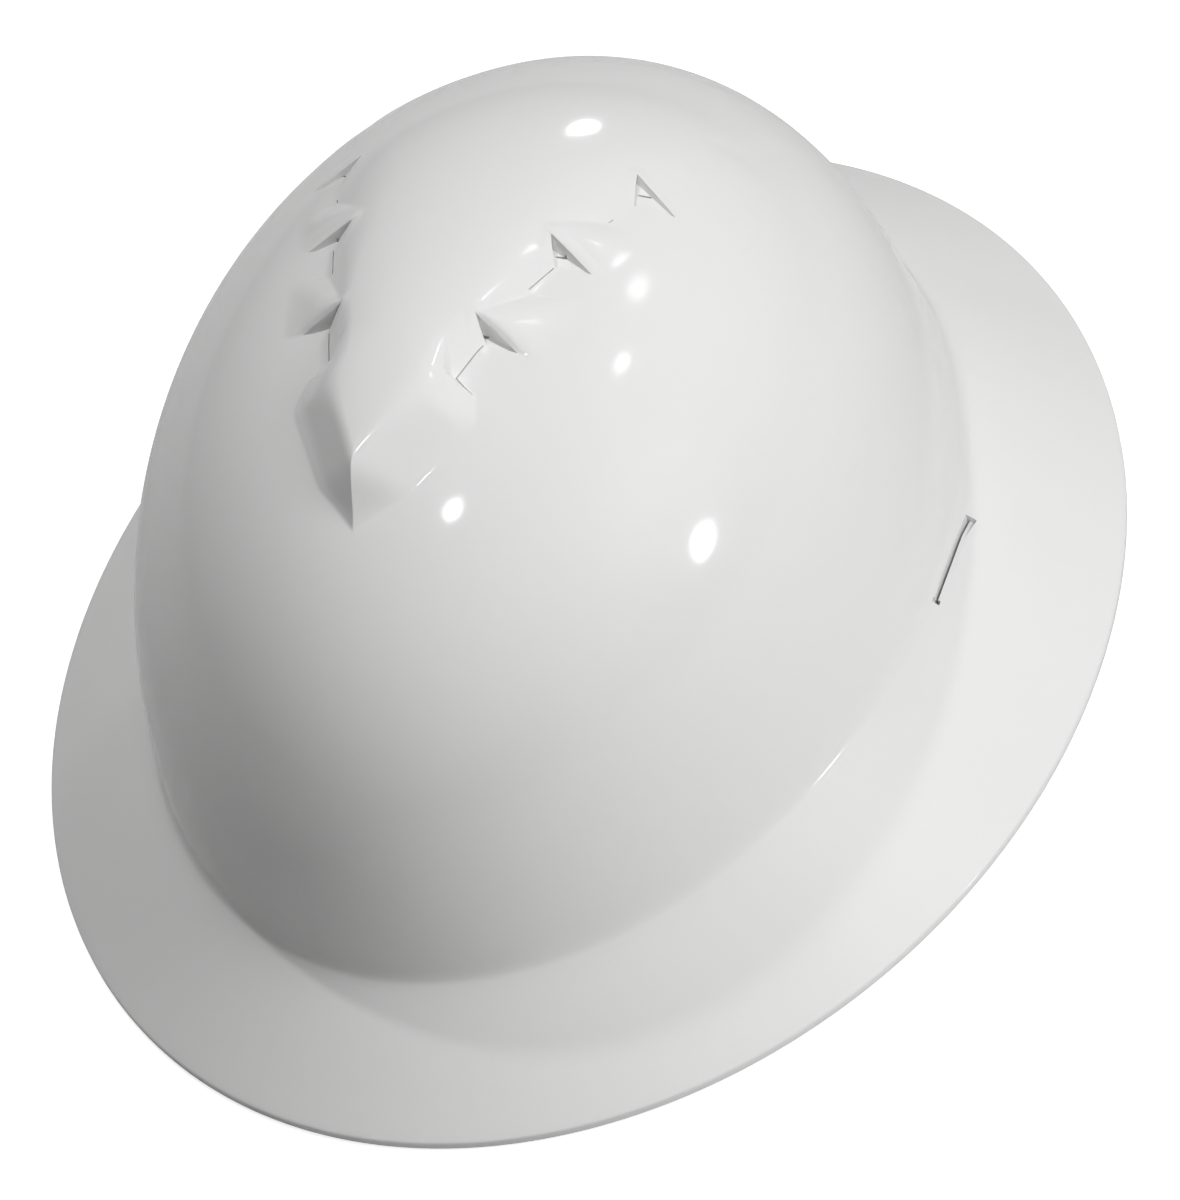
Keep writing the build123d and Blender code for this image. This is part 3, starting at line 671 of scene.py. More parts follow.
def calculate(tree, operation, *values):
    """Result of a math node; each value is a number or another node's output."""
    node = add_node(tree, "Math")
    node.operation = operation
    for given, value in zip(node.inputs, values):
        if isinstance(value, bpy.types.NodeSocket):
            tree.links.new(value, given)
        else:
            given.default_value = value
    return node.outputs[0]


def noise(tree, place, scale, detail=2.0):
    node = add_node(tree, "TexNoise", Scale=scale, Detail=detail)
    tree.links.new(place, node.inputs["Vector"])
    return node.outputs["Fac"]


def ranged(tree, value, **limits):
    """Value taken from one range to another."""
    node = add_node(tree, "MapRange", **limits)
    tree.links.new(value, node.inputs["Value"])
    return node.outputs["Result"]


def shades(color, contrast):
    """Darker and lighter shade of a colour."""
    return [tuple(c * (1 + way * contrast) for c in color) for way in (-1, 1)]


def color_by(tree, factor, shader, dark, light):
    """Base colour that runs from dark to light."""
    mix = add_node(tree, "Mix")
    mix.data_type = "RGBA"
    put(mix, A=(*dark, 1), B=(*light, 1))
    tree.links.new(factor, mix.inputs["Factor"])
    tree.links.new(mix.outputs["Result"], shader.inputs["Base Color"])


def bump_by(tree, height, shader, strength, distance):
    bump = add_node(tree, "Bump", Strength=strength, Distance=distance)
    tree.links.new(height, bump.inputs["Height"])
    tree.links.new(bump.outputs["Normal"], shader.inputs["Normal"])


def new_material(name, color, roughness, **sockets):
    """Material with constants on its shader; returns it, its tree, shader and Object coordinates."""
    material = bpy.data.materials.new(name)
    material.use_nodes = True
    tree = material.node_tree
    shader = put(tree.nodes["Principled BSDF"], Base_Color=(*color, 1), Roughness=roughness, **sockets)
    return material, tree, shader, add_node(tree, "TexCoord").outputs["Object"]


def new_group(name, vector, numbers, outputs):
    """Node group with a vector input, number inputs and number outputs; returns its two ends too."""
    group = bpy.data.node_groups.new(name, "ShaderNodeTree")
    group.interface.new_socket(vector, in_out="INPUT", socket_type="NodeSocketVector")
    for socket, value in numbers.items():
        made = group.interface.new_socket(socket, in_out="INPUT", socket_type="NodeSocketFloat")
        made.default_value = value
    for socket in outputs:
        group.interface.new_socket(socket, in_out="OUTPUT", socket_type="NodeSocketFloat")
    return group, group.nodes.new("NodeGroupInput"), group.nodes.new("NodeGroupOutput")


def grain_group():
    """Moulded grain: a colour mask, a roughness and a bump height from Object coordinates."""
    numbers = {"Scale": 900, "Roughness": 0.5, "Spread": 0.1}
    group, given, result = new_group("moulded grain", "Vector", numbers, ("Mask", "Roughness", "Height"))
    fine = add_node(group, "TexNoise", Detail=3)
    group.links.new(given.outputs["Vector"], fine.inputs["Vector"])
    group.links.new(given.outputs["Scale"], fine.inputs["Scale"])
    mask = ranged(group, noise(group, given.outputs["Vector"], 28, 4), From_Min=0.35, From_Max=0.7)
    rough = calculate(group, "MULTIPLY_ADD", mask, given.outputs["Spread"], given.outputs["Roughness"])
    group.links.new(mask, result.inputs["Mask"])
    group.links.new(rough, result.inputs["Roughness"])
    group.links.new(fine.outputs["Fac"], result.inputs["Height"])
    return group


def weave_group():
    """Woven yarns from UVs in metres: how high each yarn stands."""
    group, given, result = new_group("woven yarns", "UV", {"Across": 260, "Along": 190}, ("Height",))
    waves = []
    for direction, scale in (("X", "Across"), ("Y", "Along"), ("DIAGONAL", "Along")):
        wave = add_node(group, "TexWave")
        wave.bands_direction = direction
        group.links.new(given.outputs[scale], wave.inputs["Scale"])
        group.links.new(given.outputs["UV"], wave.inputs["Vector"])
        waves.append(wave.outputs["Fac"])
    yarns = calculate(group, "MULTIPLY", waves[0], waves[1])
    group.links.new(calculate(group, "MULTIPLY_ADD", waves[2], 0.35, yarns), result.inputs["Height"])
    return group


def hat_plastic(settings):
    """White gloss moulding with a faint orange peel and a few dull rubbed places."""
    rough = settings.roughness
    material, tree, shader, place = new_material("hat_plastic", settings.color, rough, Specular_IOR_Level=0.5)
    limits = {"From_Min": 0.3, "From_Max": 0.75, "To_Min": rough * 0.8, "To_Max": rough * 1.25}
    dull = ranged(tree, noise(tree, place, 14, 3), **limits)
    tree.links.new(dull, shader.inputs["Roughness"])
    bump_by(tree, noise(tree, place, 160, 1), shader, 0.05, 0.0004)
    return material


def woven(name, color, group, across, along, depth, contrast):
    """Woven cloth: its yarns from the piece's own UVs, with painted shade in the weave's low places, and worn
    lighter in broad places.
    """
    material, tree, shader, place = new_material(name, color, 0.82, Sheen_Weight=0.3, Sheen_Roughness=0.45)
    weave = use_group(tree, group, Across=across, Along=along)
    tree.links.new(add_node(tree, "UVMap").outputs["UV"], weave.inputs["UV"])
    # Colour from broad wear noise plus the weave's height: raised yarns lighter, painted shade in the low places
    # between them
    wear_and_weave_shade = calculate(tree, "MULTIPLY_ADD", noise(tree, place, 30), 0.35, weave.outputs["Height"])
    color_by(tree, wear_and_weave_shade, shader, *shades(color, contrast))
    bump_by(tree, weave.outputs["Height"], shader, 0.6, depth)
    return material


def pad_cloth(color):
    """Brushed knit over foam: soft mottling and a fine nap."""
    material, tree, shader, place = new_material("pad_cloth", color, 0.92, Sheen_Weight=0.4, Sheen_Roughness=0.4)
    color_by(tree, noise(tree, place, 120, 4), shader, *shades(color, 0.2))
    bump_by(tree, noise(tree, place, 2200, 2), shader, 0.35, 0.0002)
    return material


def moulded(group, name, color, roughness, scale, depth):
    """Grained moulding, lighter where it is rubbed."""
    material, tree, shader, place = new_material(name, color, roughness)
    grain = use_group(tree, group, Scale=scale, Roughness=roughness, Spread=0.12)
    tree.links.new(place, grain.inputs["Vector"])
    color_by(tree, grain.outputs["Mask"], shader, color, tuple(min(c * 1.18 + 0.01, 1) for c in color))
    tree.links.new(grain.outputs["Roughness"], shader.inputs["Roughness"])
    bump_by(tree, grain.outputs["Height"], shader, 0.35, depth)
    return material


def zinc():
    """Zinc plated steel with fine drawn lines."""
    material, tree, shader, place = new_material("zinc_plate", (0.7, 0.7, 0.72), 0.34, Metallic=1.0)
    stretch = add_node(tree, "Mapping", Scale=(1, 12, 1))
    tree.links.new(place, stretch.inputs["Vector"])
    lines = noise(tree, stretch.outputs["Vector"], 500, 3)
    color_by(tree, lines, shader, (0.62, 0.62, 0.65), (0.76, 0.76, 0.78))
    tree.links.new(ranged(tree, lines, To_Min=0.26, To_Max=0.42), shader.inputs["Roughness"])
    return material


# Nodes, colour, roughness, grain scale and grain depth of each moulding; the bands' colour is set in the panel
KEYS = tuple("key_" + corner for corner in KEY_DIAGONALS)
BANDS = ("headband", "temple_link_left", "temple_link_right", "nape_arm_left", "nape_arm_right")
PINS = ("temple_pin_left", "temple_pin_right", "ratchet_pinion")
MOULDINGS = {
    "key_nylon": (KEYS, (0.30, 0.31, 0.33), 0.5, 1100, 0.0002),
    "band_plastic": (BANDS, None, 0.48, 800, 0.0002),
    "pin_plastic": (PINS, (0.66, 0.66, 0.65), 0.38, 600, 0.0001),
    "ratchet_plastic": (("ratchet_housing", "ratchet_cover"), (0.13, 0.13, 0.14), 0.45, 900, 0.0003),
    "knob_plastic": (("ratchet_knob",), (0.06, 0.06, 0.065), 0.35, 700, 0.0001),
    "grip_rubber": (("knob_grip",), (0.035, 0.035, 0.036), 0.75, 1300, 0.0003),
}
STEEL_NODES = ("knob_screw", "detent_spring")


def paint_node(node, material):
    """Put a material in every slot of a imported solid."""
    if not node.material_slots:
        node.data.materials.append(material)
    for slot in node.material_slots:
        slot.material = material


def paint_frame(band_color):
    """Finishes of the solids that are shown as they are."""
    group = grain_group()
    for name, (nodes, color, roughness, scale, depth) in MOULDINGS.items():
        material = moulded(group, name, color or band_color, roughness, scale, depth)
        for node in nodes:
            paint_node(NODES[node], material)
    steel = zinc()
    for node in STEEL_NODES:
        paint_node(NODES[node], steel)


def paint(piece, material):
    piece.data.materials.clear()
    piece.data.materials.append(material)
    for face in piece.data.polygons:
        face.material_index = 0


def finish_piece(piece, body, slot, material, *nodes):
    """Material, riding body and replaced nodes of a new piece; the slot argument is not used."""
    paint(piece, material)
    only(piece)
    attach(piece, body)
    if nodes:
        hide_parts(*nodes)
    return piece


def make_shell(settings):
    """The moulded shell: dome, crest with vents, brim with its slots."""
    segments = 288
    rings = shell_rings(segments)
    piece, u, v = grid_piece("hat_shell", segments, len(rings) - 1)
    column = np.rint(u * segments).astype(int)
    row = np.rint(v * (len(rings) - 1)).astype(int)
    table = np.array([np.stack(ring, axis=-1) for ring in rings])
    set_coordinates(piece, table[row, column] * MM)
    close_seams(piece, ends=False)
    refine_crest(piece)
    raise_crest(piece)
    angles = KEY_DIAGONALS.values()
    boolean(piece, [slot_pocket(side) for side in (-1, 1)] + [key_socket(angle) for angle in angles], "UNION")
    slots = [slot_cutters(side, settings.slot_gap / MM) for side in (-1, 1)]
    mouths, notches, gaps, eyes = [list(cutters) for cutters in zip(*slots)]
    slits = [slit_cutter(start, end, settings.slit_width / MM) for start, end in SLITS]
    vents = both_sides([vent_cutter(vent) for vent in VENTS])
    boolean(piece, vents + mouths + [key_room(angle) for angle in angles], "DIFFERENCE")
    boolean(piece, both_sides([air_hole(vent) for vent in VENTS] + slits[::2]) + gaps, "DIFFERENCE")
    boolean(piece, both_sides(slits[1::2]) + notches, "DIFFERENCE")
    boolean(piece, eyes, "DIFFERENCE")
    smooth(piece, 32)
    return finish_piece(piece, "hat", "shell", hat_plastic(settings), "shell")


def outside_of_crown(co):
    """Which points in millimetres lie on the outside skin."""
    x, y, z = co.T
    return z > dome_height(x, y) - SKIN


def refine_crest(piece):
    """Divide the faces under the crest, and those along its edges once more."""
    for edges_only in (False, True):
        edit(piece)
        bpy.ops.mesh.select_all(action="DESELECT")
        done()
        count = len(piece.data.polygons)
        centers = np.zeros(count * 3)
        piece.data.polygons.foreach_get("center", centers)
        centers = centers.reshape(-1, 3) / MM
        x, y, z = centers.T
        near = np.zeros(count, bool)
        for dx, dy in ((0, 0), (2.5, 0), (-2.5, 0), (0, 2.5), (0, -2.5)):
            near |= crest_height(x + dx, y + dy) > LEAST_RISE
        chosen = outside_of_crown(centers) & near & (z > CREST_LOWEST)
        if edges_only:
            shape = crest_height(x, y)
            bend = np.zeros(count)
            for dx, dy in ((BEND_STEP, 0), (0, BEND_STEP)):
                bend += np.abs(crest_height(x + dx, y + dy) + crest_height(x - dx, y - dy) - 2 * shape)
            chosen &= bend > LEAST_BEND
        piece.data.polygons.foreach_set("select", chosen)
        only(piece)
        bpy.ops.object.mode_set(mode="EDIT")
        bpy.ops.mesh.select_mode(type="FACE")
        bpy.ops.mesh.subdivide(number_cuts=1)
        bpy.ops.mesh.select_mode(type="VERT")
        done()


def raise_crest(piece):
    """Lift the outside skin into the crest, and hollow the inside under it."""
    co = coordinates(piece) / MM
    x, y, z = co.T
    high = z > CREST_LOWEST
    outside = outside_of_crown(co) & high
    inside = ~outside & high
    z[outside] = dome_height(x[outside], y[outside]) + crest_height(x[outside], y[outside])
    wide = x[inside] * HOLLOW_NARROWER
    long = (y[inside] - HOLLOW_MIDDLE) * HOLLOW_SHORTER + HOLLOW_MIDDLE
    z[inside] += np.clip(crest_height(wide, long) - HOLLOW_DROP, 0, None)
    set_coordinates(piece, co * MM)


def swept(name, centers, sides, ups, section):
    """Closed band along a path, from its cross-section; its UVs are metres along and round."""
    count, around = len(centers), len(section)
    piece, u, v = grid_piece(name, around, count - 1)
    column = np.rint(u * around).astype(int) % around
    row = np.rint(v * (count - 1)).astype(int)
    co = centers[row] + sides[row] * section[column, :1] + ups[row] * section[column, 1:]
    set_coordinates(piece, co * MM)
    length = np.linalg.norm(np.diff(centers, axis=0), axis=1).sum() * MM
    girth = np.linalg.norm(np.diff(section, axis=0, append=section[:1]), axis=1).sum() * MM
    uvs = np.zeros(len(piece.data.loops) * 2)
    layer = piece.data.uv_layers[0].data
    layer.foreach_get("uv", uvs)
    layer.foreach_set("uv", (uvs.reshape(-1, 2) * (girth, length)).ravel())
    close_seams(piece)
    return piece


def rounded_section(width, thickness):
    """Superellipse across a band, flat with rounded edges."""
    angle = np.linspace(0, 2 * math.pi, 28, endpoint=False)
    across, up = np.cos(angle), np.sin(angle)
    across = np.sign(across) * np.abs(across) ** (2 / 9) * width / 2
    up = np.sign(up) * np.abs(up) ** (2 / 2.6) * thickness / 2
    return np.stack([across, up], axis=-1)


def strap_route(lift):
    """Half of a crown strap's centre line as out and up, from its stitched end to the top."""
    def turn(x, z, start, end):
        angles = np.radians(np.linspace(start, end, 6))
        return [(x + TURN * math.cos(a), z + TURN * math.sin(a)) for a in angles]

    route = [(TAIL, TAIL_END), (TAIL, 40)]
    route += turn(TAIL + TURN, LOOP_HIGH - TURN, 180, 90)
    route += turn(LOOP_FAR - TURN, LOOP_HIGH - TURN, 90, 0)
    route += turn(LOOP_FAR - TURN, LOOP_LOW + TURN, 0, -90)
    route += turn(LEG + TURN, LOOP_LOW + TURN, 270, 180)
    route += [(LEG, z) for z in np.linspace(38, ARCH_BASE - 1, 12)]
    for a in np.linspace(0, math.pi / 2, 64):
        route.append((LEG * math.cos(a), ARCH_BASE + (ARCH_HEIGHT + lift) * math.sin(a)))
    return route


def make_strap(name, angle, lift, material, settings):
    """Crown strap, looped through its two keys."""
    half = strap_route(lift)
    route = np.array(half + [(-x, z) for x, z in reversed(half[:-1])])
    tangent = np.gradient(route, axis=0)
    tangent /= np.linalg.norm(tangent, axis=1, keepdims=True)
    out, across = diagonal(angle)
    up = np.array([0, 0, 1.0])
    centers = route[:, :1] * out + route[:, 1:] * up + (0, -CROWN_FORWARD, 0)
    ups = -tangent[:, 1:] * out + tangent[:, :1] * up
    section = rounded_section(settings.width / MM, settings.thickness / MM)
    piece = swept(name, centers, np.tile(across, (len(route), 1)), ups, section)
    smooth(piece, 50)
    return finish_piece(piece, "hat", "webbing", material, name.replace("webbing", "strap"))


def make_stitches(material, settings):
    """Thread stitches that hold each strap's folded end to its leg."""
    half = settings.thickness / MM / 2
    sides = np.arange(-7.5, 7.6, 2.5) * settings.width / MM / FULL_WIDTH
    bpy.ops.object.select_all(action="DESELECT")
    bpy.ops.mesh.primitive_cube_add(size=1)
    stitch = active()
    edit(stitch)
    bpy.ops.mesh.bevel(offset=0.3, segments=2, affect="EDGES")
    done()
    shape = coordinates(stitch) * (STITCH_DEPTH, STITCH_LENGTH, STITCH_HEIGHT)
    pieces = []
    for angle in KEY_DIAGONALS.values():
        turned = shape @ np.array([*diagonal(angle), (0, 0, 1)])
        for z in STITCH_ROWS:
            for side in sides:
                for reach in (LEG - half, TAIL + half):
                    copy = copy_of(stitch)
                    set_coordinates(copy, (turned + key_point(angle, reach, side, z)) * MM)
                    pieces.append(copy)
    bpy.data.objects.remove(stitch)
    piece = join(pieces, "strap_stitches")
    smooth(piece)
    return finish_piece(piece, "hat", "webbing", material)


def channel(value, centers, width):
    """How deep pressed channels at some places are, from 0 to 1."""
    return np.max([np.exp(-((value - c) / width) ** 2) for c in centers], axis=0)


def edge_share(inwards, margin, thin):
    """Share of a pad's thickness, thin at the edge and full from a margin inwards."""
    return thin + (1 - thin) * np.clip(inwards / margin, 0, 1) ** 0.6


def curved_pad(name, curve, reach, middle, half, steps, margins, channels):
    """Closed pad bent round the head; the curve is its half width and its depth to the back."""
    columns, rows = steps
    piece, u, v = grid_piece(name, columns * 2, rows)
    along = v * 2 - 1
    c, h = np.cos(u * 2 * math.pi), np.sin(u * 2 * math.pi)
    up = np.sign(c) * np.abs(c) ** 0.5
    edge = edge_share(1 - np.abs(up), margins[0], PAD_EDGE)
    edge = np.minimum(edge, edge_share(1 - np.abs(along), margins[1], PAD_EDGE))
    places, width, height = channels
    pressed = channel(along, places, width) * (np.abs(up) < height)
    thick = PAD_HALF * edge * np.where(h < 0, 1 - PAD_PRESS * pressed, 1)
    thick *= np.sign(h) * np.abs(h) ** 0.45 * np.clip(1 - np.abs(along) ** 24, 0, 1) ** 0.45
    x = (curve[0] + thick) * np.sin(along * reach)
    y = (curve[1] + math.copysign(1, curve[1]) * thick) * np.cos(along * reach)
    z = middle + up * (1 - 0.06 * np.abs(along) ** 30) * half
    set_coordinates(piece, np.stack([x, y, z], axis=-1) * MM)
    close_seams(piece)
    smooth(piece)
    return piece


def make_brow_pad(material):
    """Sweat pad behind the brow, with pressed channels."""
    reach = math.asin(42 / 79.65)
    channels = (np.linspace(-0.66, 0.66, 5), 0.022, 0.75)
    piece = curved_pad("brow_sweat_pad", (77.4, -113.4), reach, 34, 13.9, (40, 150), (0.3, 0.09), channels)
    finish_piece(piece, "hat", "pad", material, "brow_pad")


def make_nape_pad(material):
    """Pad on the inside of the ratchet."""
    reach = math.radians(19)
    channels = ((-0.36, 0.36), 0.035, 0.7)
    piece = curved_pad("nape_cushion", (74.6, 74.6), reach, 22, 11.0, (32, 96), (0.35, 0.14), channels)
    finish_piece(piece, "ratchet", "pad", material, "nape_pad")


def make_crown_pad(material):
    """Round pad under the crossing of the crown straps, pressed in a ring and spokes."""
    piece, u, v = grid_piece("crown_cushion", 96, 60)
    angle, turn = u * 2 * math.pi, v * math.pi
    share = np.sin(turn) ** 0.55
    radius = CROWN_PAD_RADIUS * share
    spokes = channel(np.mod(angle, math.pi / 3), (0, math.pi / 3), 0.05) * np.clip((radius - 9) / 3, 0, 1)
    pressed = np.maximum(channel(radius, (9,), 0.7), spokes) * (share < 0.86)
    thick = CROWN_PAD_HALF * edge_share(1 - share, 0.16, CROWN_PAD_EDGE)
    thick *= np.sign(np.cos(turn)) * np.abs(np.cos(turn)) ** 0.3
    thick *= np.where(turn > math.pi / 2, 1 - PAD_PRESS * pressed, 1)
    z = ARCH_BASE + CROWN_PAD_RISE * np.sqrt(1 - (radius / CROWN_PAD_BOW) ** 2) + thick
    x, y = radius * np.cos(angle), radius * np.sin(angle) - CROWN_FORWARD
    set_coordinates(piece, np.stack([x, y, z], axis=-1) * MM)
    close_seams(piece, ends=False)
    smooth(piece)
    finish_piece(piece, "hat", "pad", material, "crown_pad")


def direction(azimuth, elevation):
    """Unit vector away from the hat; azimuth 0 is in front of it and 90 on the wearer's left."""
    a, e = math.radians(azimuth), math.radians(elevation)
    return Vector((math.sin(a) * math.cos(e), -math.cos(a) * math.cos(e), math.sin(e)))


def view_matrix():
    """Place and turn of the photograph's camera."""
    azimuth, elevation, roll = VIEW_BACK
    back, right = direction(azimuth, elevation), direction(azimuth + 90, 0)
    up = back.cross(right)
    cos, sin = math.cos(math.radians(roll)), math.sin(math.radians(roll))
    turned = (right * cos + up * sin, up * cos - right * sin, back)
    eye = back * VIEW_DISTANCE - turned[0] * VIEW_SHIFT[0] - turned[1] * VIEW_SHIFT[1] + Vector(VIEW_ORIGIN)
    matrix = Matrix(turned).transposed().to_4x4()
    matrix.translation = eye * MM
    return matrix


def make_camera():
    camera = bpy.data.objects.new("camera", bpy.data.cameras.new("camera"))
    bpy.context.scene.collection.objects.link(camera)
    camera.matrix_world = view_matrix()
    camera.data.sensor_fit = "VERTICAL"
    camera.data.sensor_height = SENSOR
    camera.data.lens = VIEW_FOCUS * SENSOR / PHOTO_HEIGHT
    camera.data.clip_start = 0.05
    camera.data.clip_end = 20
    bpy.context.scene.camera = camera


# Name, azimuth and elevation in degrees, distance, size and power of each lamp that lights the hat
LAMPS = (
    ("side", 90, 30, 1.6, 0.9, 13.5),
    ("overhead", 0, 89.9, 1.6, 0.9, 8.1),
    ("low_front", 60, 5, 1.6, 0.9, 5.2),
    ("rear_side", -120, 30, 1.6, 1.4, 2.9),
    ("low_rear", -150, 5, 1.6, 0.9, 1.9),
    ("shadow", -134.0, 66.0, 3.0, 0.14, 18.0),
)
# Azimuth, elevation, size and power of each small bright lamp that the plastic mirrors
GLINTS = (
    (-170.0, 18.2, 0.24, 3.6),
    (148.4, 45.7, 0.26, 1.1),
    (126.0, 51.9, 0.2, 1.0),
    (15.6, 72.8, 0.24, 4.6),
    (92.7, 12.2, 0.34, 6),
)
GLINT_DISTANCE = 3.0
LAMP_AIM = Vector((0, 0, 0.06))
# How bright the pale floor looks by itself to each kind of ray
FLOOR_GLOW = (("Is Camera Ray", 0.75), ("Is Glossy Ray", 0.12), ("Is Transmission Ray", 0.12))


def lamp(name, azimuth, elevation, distance, size, power, glint=False):
    """Round area lamp that faces the hat; a glint is only seen as a reflection in it."""
    away = direction(azimuth, elevation)
    light = bpy.data.lights.new(name, "AREA")
    light.shape = "DISK"
    light.size = size
    light.energy = power
    piece = bpy.data.objects.new(name, light)
    bpy.context.scene.collection.objects.link(piece)
    piece.location = away * distance + LAMP_AIM
    piece.rotation_euler = away.to_track_quat("Z", "Y").to_euler()
    piece.visible_glossy = glint
    piece.visible_diffuse = not glint
    return piece


def make_world():
    """White surroundings that are seen but don't light the hat; they are mirrored dimmer near the floor."""
    world = bpy.data.worlds.new("studio")
    bpy.context.scene.world = world
    world.use_nodes = True
    tree = world.node_tree
    dark = put(tree.nodes["Background"], Strength=0)
    white = add_node(tree, "Background", Color=(1, 1, 1, 1))
    height = add_node(tree, "SeparateXYZ")
    tree.links.new(add_node(tree, "TexCoord").outputs["Generated"], height.inputs[0])
    rise = add_node(tree, "MapRange", From_Min=-0.15, From_Max=0.85, To_Min=0.3)
    rise.interpolation_type = "SMOOTHSTEP"
    tree.links.new(height.outputs["Z"], rise.inputs["Value"])
    rays = add_node(tree, "LightPath").outputs
    strength = calculate(tree, "MAXIMUM", rays["Is Camera Ray"], rise.outputs["Result"])
    tree.links.new(strength, white.inputs["Strength"])
    seen = calculate(tree, "MAXIMUM", rays["Is Camera Ray"], rays["Is Glossy Ray"])
    seen = calculate(tree, "MAXIMUM", seen, rays["Is Transmission Ray"])
    mix = add_node(tree, "MixShader")
    for output, given in ((seen, 0), (dark.outputs[0], 1), (white.outputs[0], 2)):
        tree.links.new(output, mix.inputs[given])
    tree.links.new(mix.outputs[0], tree.nodes["World Output"].inputs["Surface"])


def make_floor(shade):
    """Pale floor that looks white where no shadow falls on it."""
    bpy.ops.object.select_all(action="DESELECT")
    bpy.ops.mesh.primitive_plane_add(size=6)
    floor = active()
    floor.name = "floor"
    set_coordinates(floor, coordinates(floor) - (0, 0, 0.0002))
    material, tree, shader, _ = new_material("floor", (shade, shade, shade), 0.9, Specular_IOR_Level=0)
    rays = add_node(tree, "LightPath").outputs
    strength = 0
    for name, share in FLOOR_GLOW:
        strength = calculate(tree, "MULTIPLY_ADD", rays[name], share, strength)
    glow, both = add_node(tree, "Emission"), add_node(tree, "AddShader")
    tree.links.new(strength, glow.inputs["Strength"])
    tree.links.new(shader.outputs[0], both.inputs[0])
    tree.links.new(glow.outputs[0], both.inputs[1])
    tree.links.new(both.outputs[0], tree.nodes["Material Output"].inputs["Surface"])
    paint(floor, material)


class HatShellSettings(bpy.types.PropertyGroup):
    """Look of the moulded shell"""
    color: FloatVectorProperty(
        name="Colour", description="Colour of the plastic",
        subtype="COLOR", min=0, max=1, default=(0.82, 0.82, 0.815))
    roughness: FloatProperty(
        name="Roughness", description="How dull the plastic is",
        subtype="FACTOR", min=0.02, max=1, default=0.11)
    slit_width: FloatProperty(
        name="Slit width", description="Width of the fine grooves along the crest",
        subtype="DISTANCE", unit="LENGTH", min=0.0001, max=0.001, default=0.00026, precision=5)
    slot_gap: FloatProperty(
        name="Slot gap", description="Width of the gap at the foot of an accessory slot",
        subtype="DISTANCE", unit="LENGTH", min=0.0004, max=0.0012, default=0.0007, precision=5)


class HatSuspensionSettings(bpy.types.PropertyGroup):
    """Look of the straps, the pads and the mouldings inside"""
    width: FloatProperty(
        name="Strap width", description="Width of the crown straps",
        subtype="DISTANCE", unit="LENGTH", min=0.012, max=0.019, default=0.019, precision=4)
    thickness: FloatProperty(
        name="Strap thickness", description="Thickness of the webbing",
        subtype="DISTANCE", unit="LENGTH", min=0.0008, max=0.0014, default=0.00135, precision=5)
    webbing_color: FloatVectorProperty(
        name="Webbing", description="Colour of the crown straps",
        subtype="COLOR", min=0, max=1, default=(0.115, 0.118, 0.125))
    thread_color: FloatVectorProperty(
        name="Thread", description="Colour of the stitches",
        subtype="COLOR", min=0, max=1, default=(0.3, 0.3, 0.32))
    pad_color: FloatVectorProperty(
        name="Pads", description="Colour of the pads",
        subtype="COLOR", min=0, max=1, default=(0.15, 0.152, 0.16))
    band_color: FloatVectorProperty(
        name="Bands", description="Colour of the headband and the nape strap",
        subtype="COLOR", min=0, max=1, default=(0.22, 0.23, 0.25))


class HatStageSettings(bpy.types.PropertyGroup):
    """Light round the hat"""
    light: FloatProperty(name="Light", description="Strength of all lamps", min=0.1, max=5, default=1.0)
    glints: FloatProperty(
        name="Glints", description="Strength of the small mirrored lamps", min=0, max=5, default=1.0)
    floor_shade: FloatProperty(
        name="Floor", description="Paleness of the floor", subtype="FACTOR", min=0.1, max=0.9, default=0.55)


class HAT_OT_shell(bpy.types.Operator):
    """Build the shell of the hat"""
    bl_idname = "hat.shell"
    bl_label = "Shell"

    def execute(self, context):
        make_shell(context.scene.hat_shell)
        return {"FINISHED"}


class HAT_OT_straps(bpy.types.Operator):
    """Build the crown straps and their stitches"""
    bl_idname = "hat.straps"
    bl_label = "Crown straps"

    def execute(self, context):
        settings = context.scene.hat_suspension
        group = weave_group()
        cloth = woven("strap_webbing", settings.webbing_color, group, 260, 190, 0.00025, 0.32)
        make_strap("crown_webbing_left", KEY_DIAGONALS["front_left"], 0, cloth, settings)
        make_strap("crown_webbing_right", KEY_DIAGONALS["rear_left"], STRAP_LIFT, cloth, settings)
        make_stitches(woven("twisted_thread", settings.thread_color, group, 6, 6, 0.0001, 0.2), settings)
        return {"FINISHED"}


class HAT_OT_pads(bpy.types.Operator):
    """Build the crown, brow and nape pads"""
    bl_idname = "hat.pads"
    bl_label = "Pads"

    def execute(self, context):
        cloth = pad_cloth(context.scene.hat_suspension.pad_color)
        make_crown_pad(cloth)
        make_brow_pad(cloth)
        make_nape_pad(cloth)
        return {"FINISHED"}


class HAT_OT_finishes(bpy.types.Operator):
    """Give the suspension and the ratchet their finishes"""
    bl_idname = "hat.finishes"
    bl_label = "Suspension finishes"

    def execute(self, context):
        paint_frame(tuple(context.scene.hat_suspension.band_color))
        return {"FINISHED"}


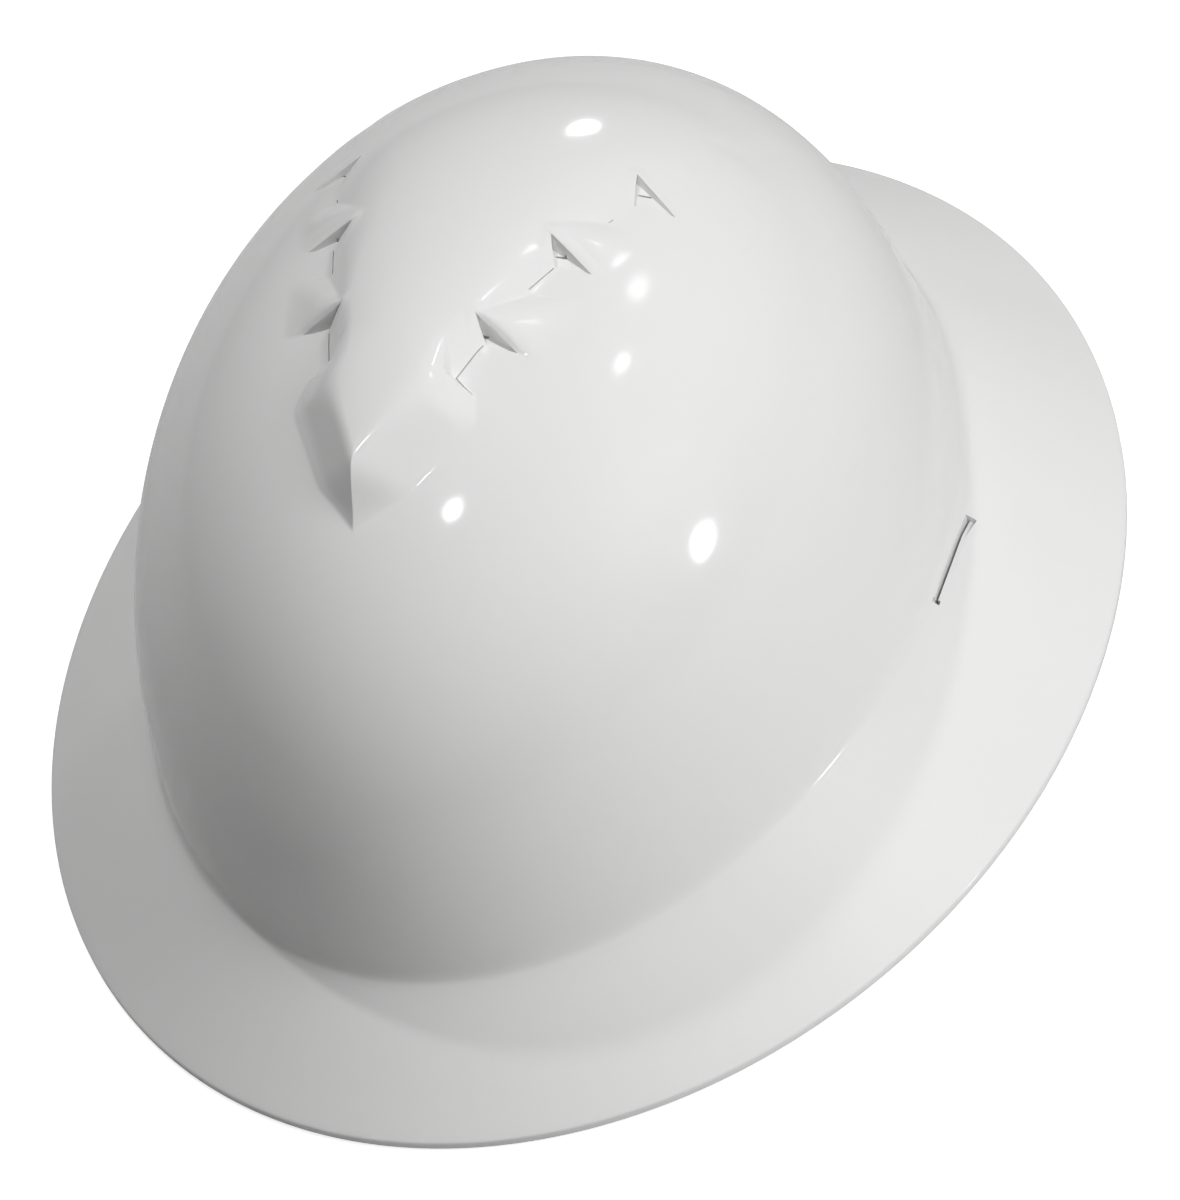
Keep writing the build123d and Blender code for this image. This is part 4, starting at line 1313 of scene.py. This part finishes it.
class HAT_OT_stage(bpy.types.Operator):
    """Build the floor, the lamps and the camera"""
    bl_idname = "hat.stage"
    bl_label = "Stage"

    def execute(self, context):
        settings = context.scene.hat_stage
        context.scene.view_settings.view_transform = "Standard"
        make_camera()
        make_world()
        make_floor(settings.floor_shade)
        for name, azimuth, elevation, distance, size, power in LAMPS:
            lamp(name, azimuth, elevation, distance, size, power * settings.light)
        for number, (azimuth, elevation, size, power) in enumerate(GLINTS):
            power *= settings.glints
            lamp("glint_%d" % number, azimuth, elevation, GLINT_DISTANCE, size, power, True)
        return {"FINISHED"}


class HAT_PT_pieces(bpy.types.Panel):
    """Pieces of the hat with their sizes and colours"""
    bl_idname = "HAT_PT_pieces"
    bl_label = "Full brim hard hat"
    bl_space_type = "VIEW_3D"
    bl_region_type = "UI"
    bl_category = "Hard hat"

    def draw(self, context):
        scene = context.scene
        for label, group, operators in (
            ("Shell", scene.hat_shell, ("hat.shell",)),
            ("Suspension", scene.hat_suspension, ("hat.straps", "hat.pads", "hat.finishes")),
            ("Stage", scene.hat_stage, ("hat.stage",)),
        ):
            box = self.layout.box()
            box.label(text=label)
            for name in group.__annotations__:
                box.prop(group, name)
            for operator in operators:
                box.operator(operator)


SETTINGS = {"hat_shell": HatShellSettings, "hat_suspension": HatSuspensionSettings, "hat_stage": HatStageSettings}
OPERATORS = (HAT_OT_shell, HAT_OT_straps, HAT_OT_pads, HAT_OT_finishes, HAT_OT_stage)
CLASSES = (*SETTINGS.values(), *OPERATORS, HAT_PT_pieces)


def register():
    for item in CLASSES:
        bpy.utils.register_class(item)
    for name, group in SETTINGS.items():
        setattr(bpy.types.Scene, name, bpy.props.PointerProperty(type=group))


def unregister():
    for name in SETTINGS:
        delattr(bpy.types.Scene, name)
    for item in reversed(CLASSES):
        bpy.utils.unregister_class(item)


def main():
    register()
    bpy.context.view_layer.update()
    bpy.ops.hat.stage()
    bpy.ops.hat.shell()
    bpy.ops.hat.straps()
    bpy.ops.hat.pads()
    bpy.ops.hat.finishes()


if __name__ == "__main__":
    main()
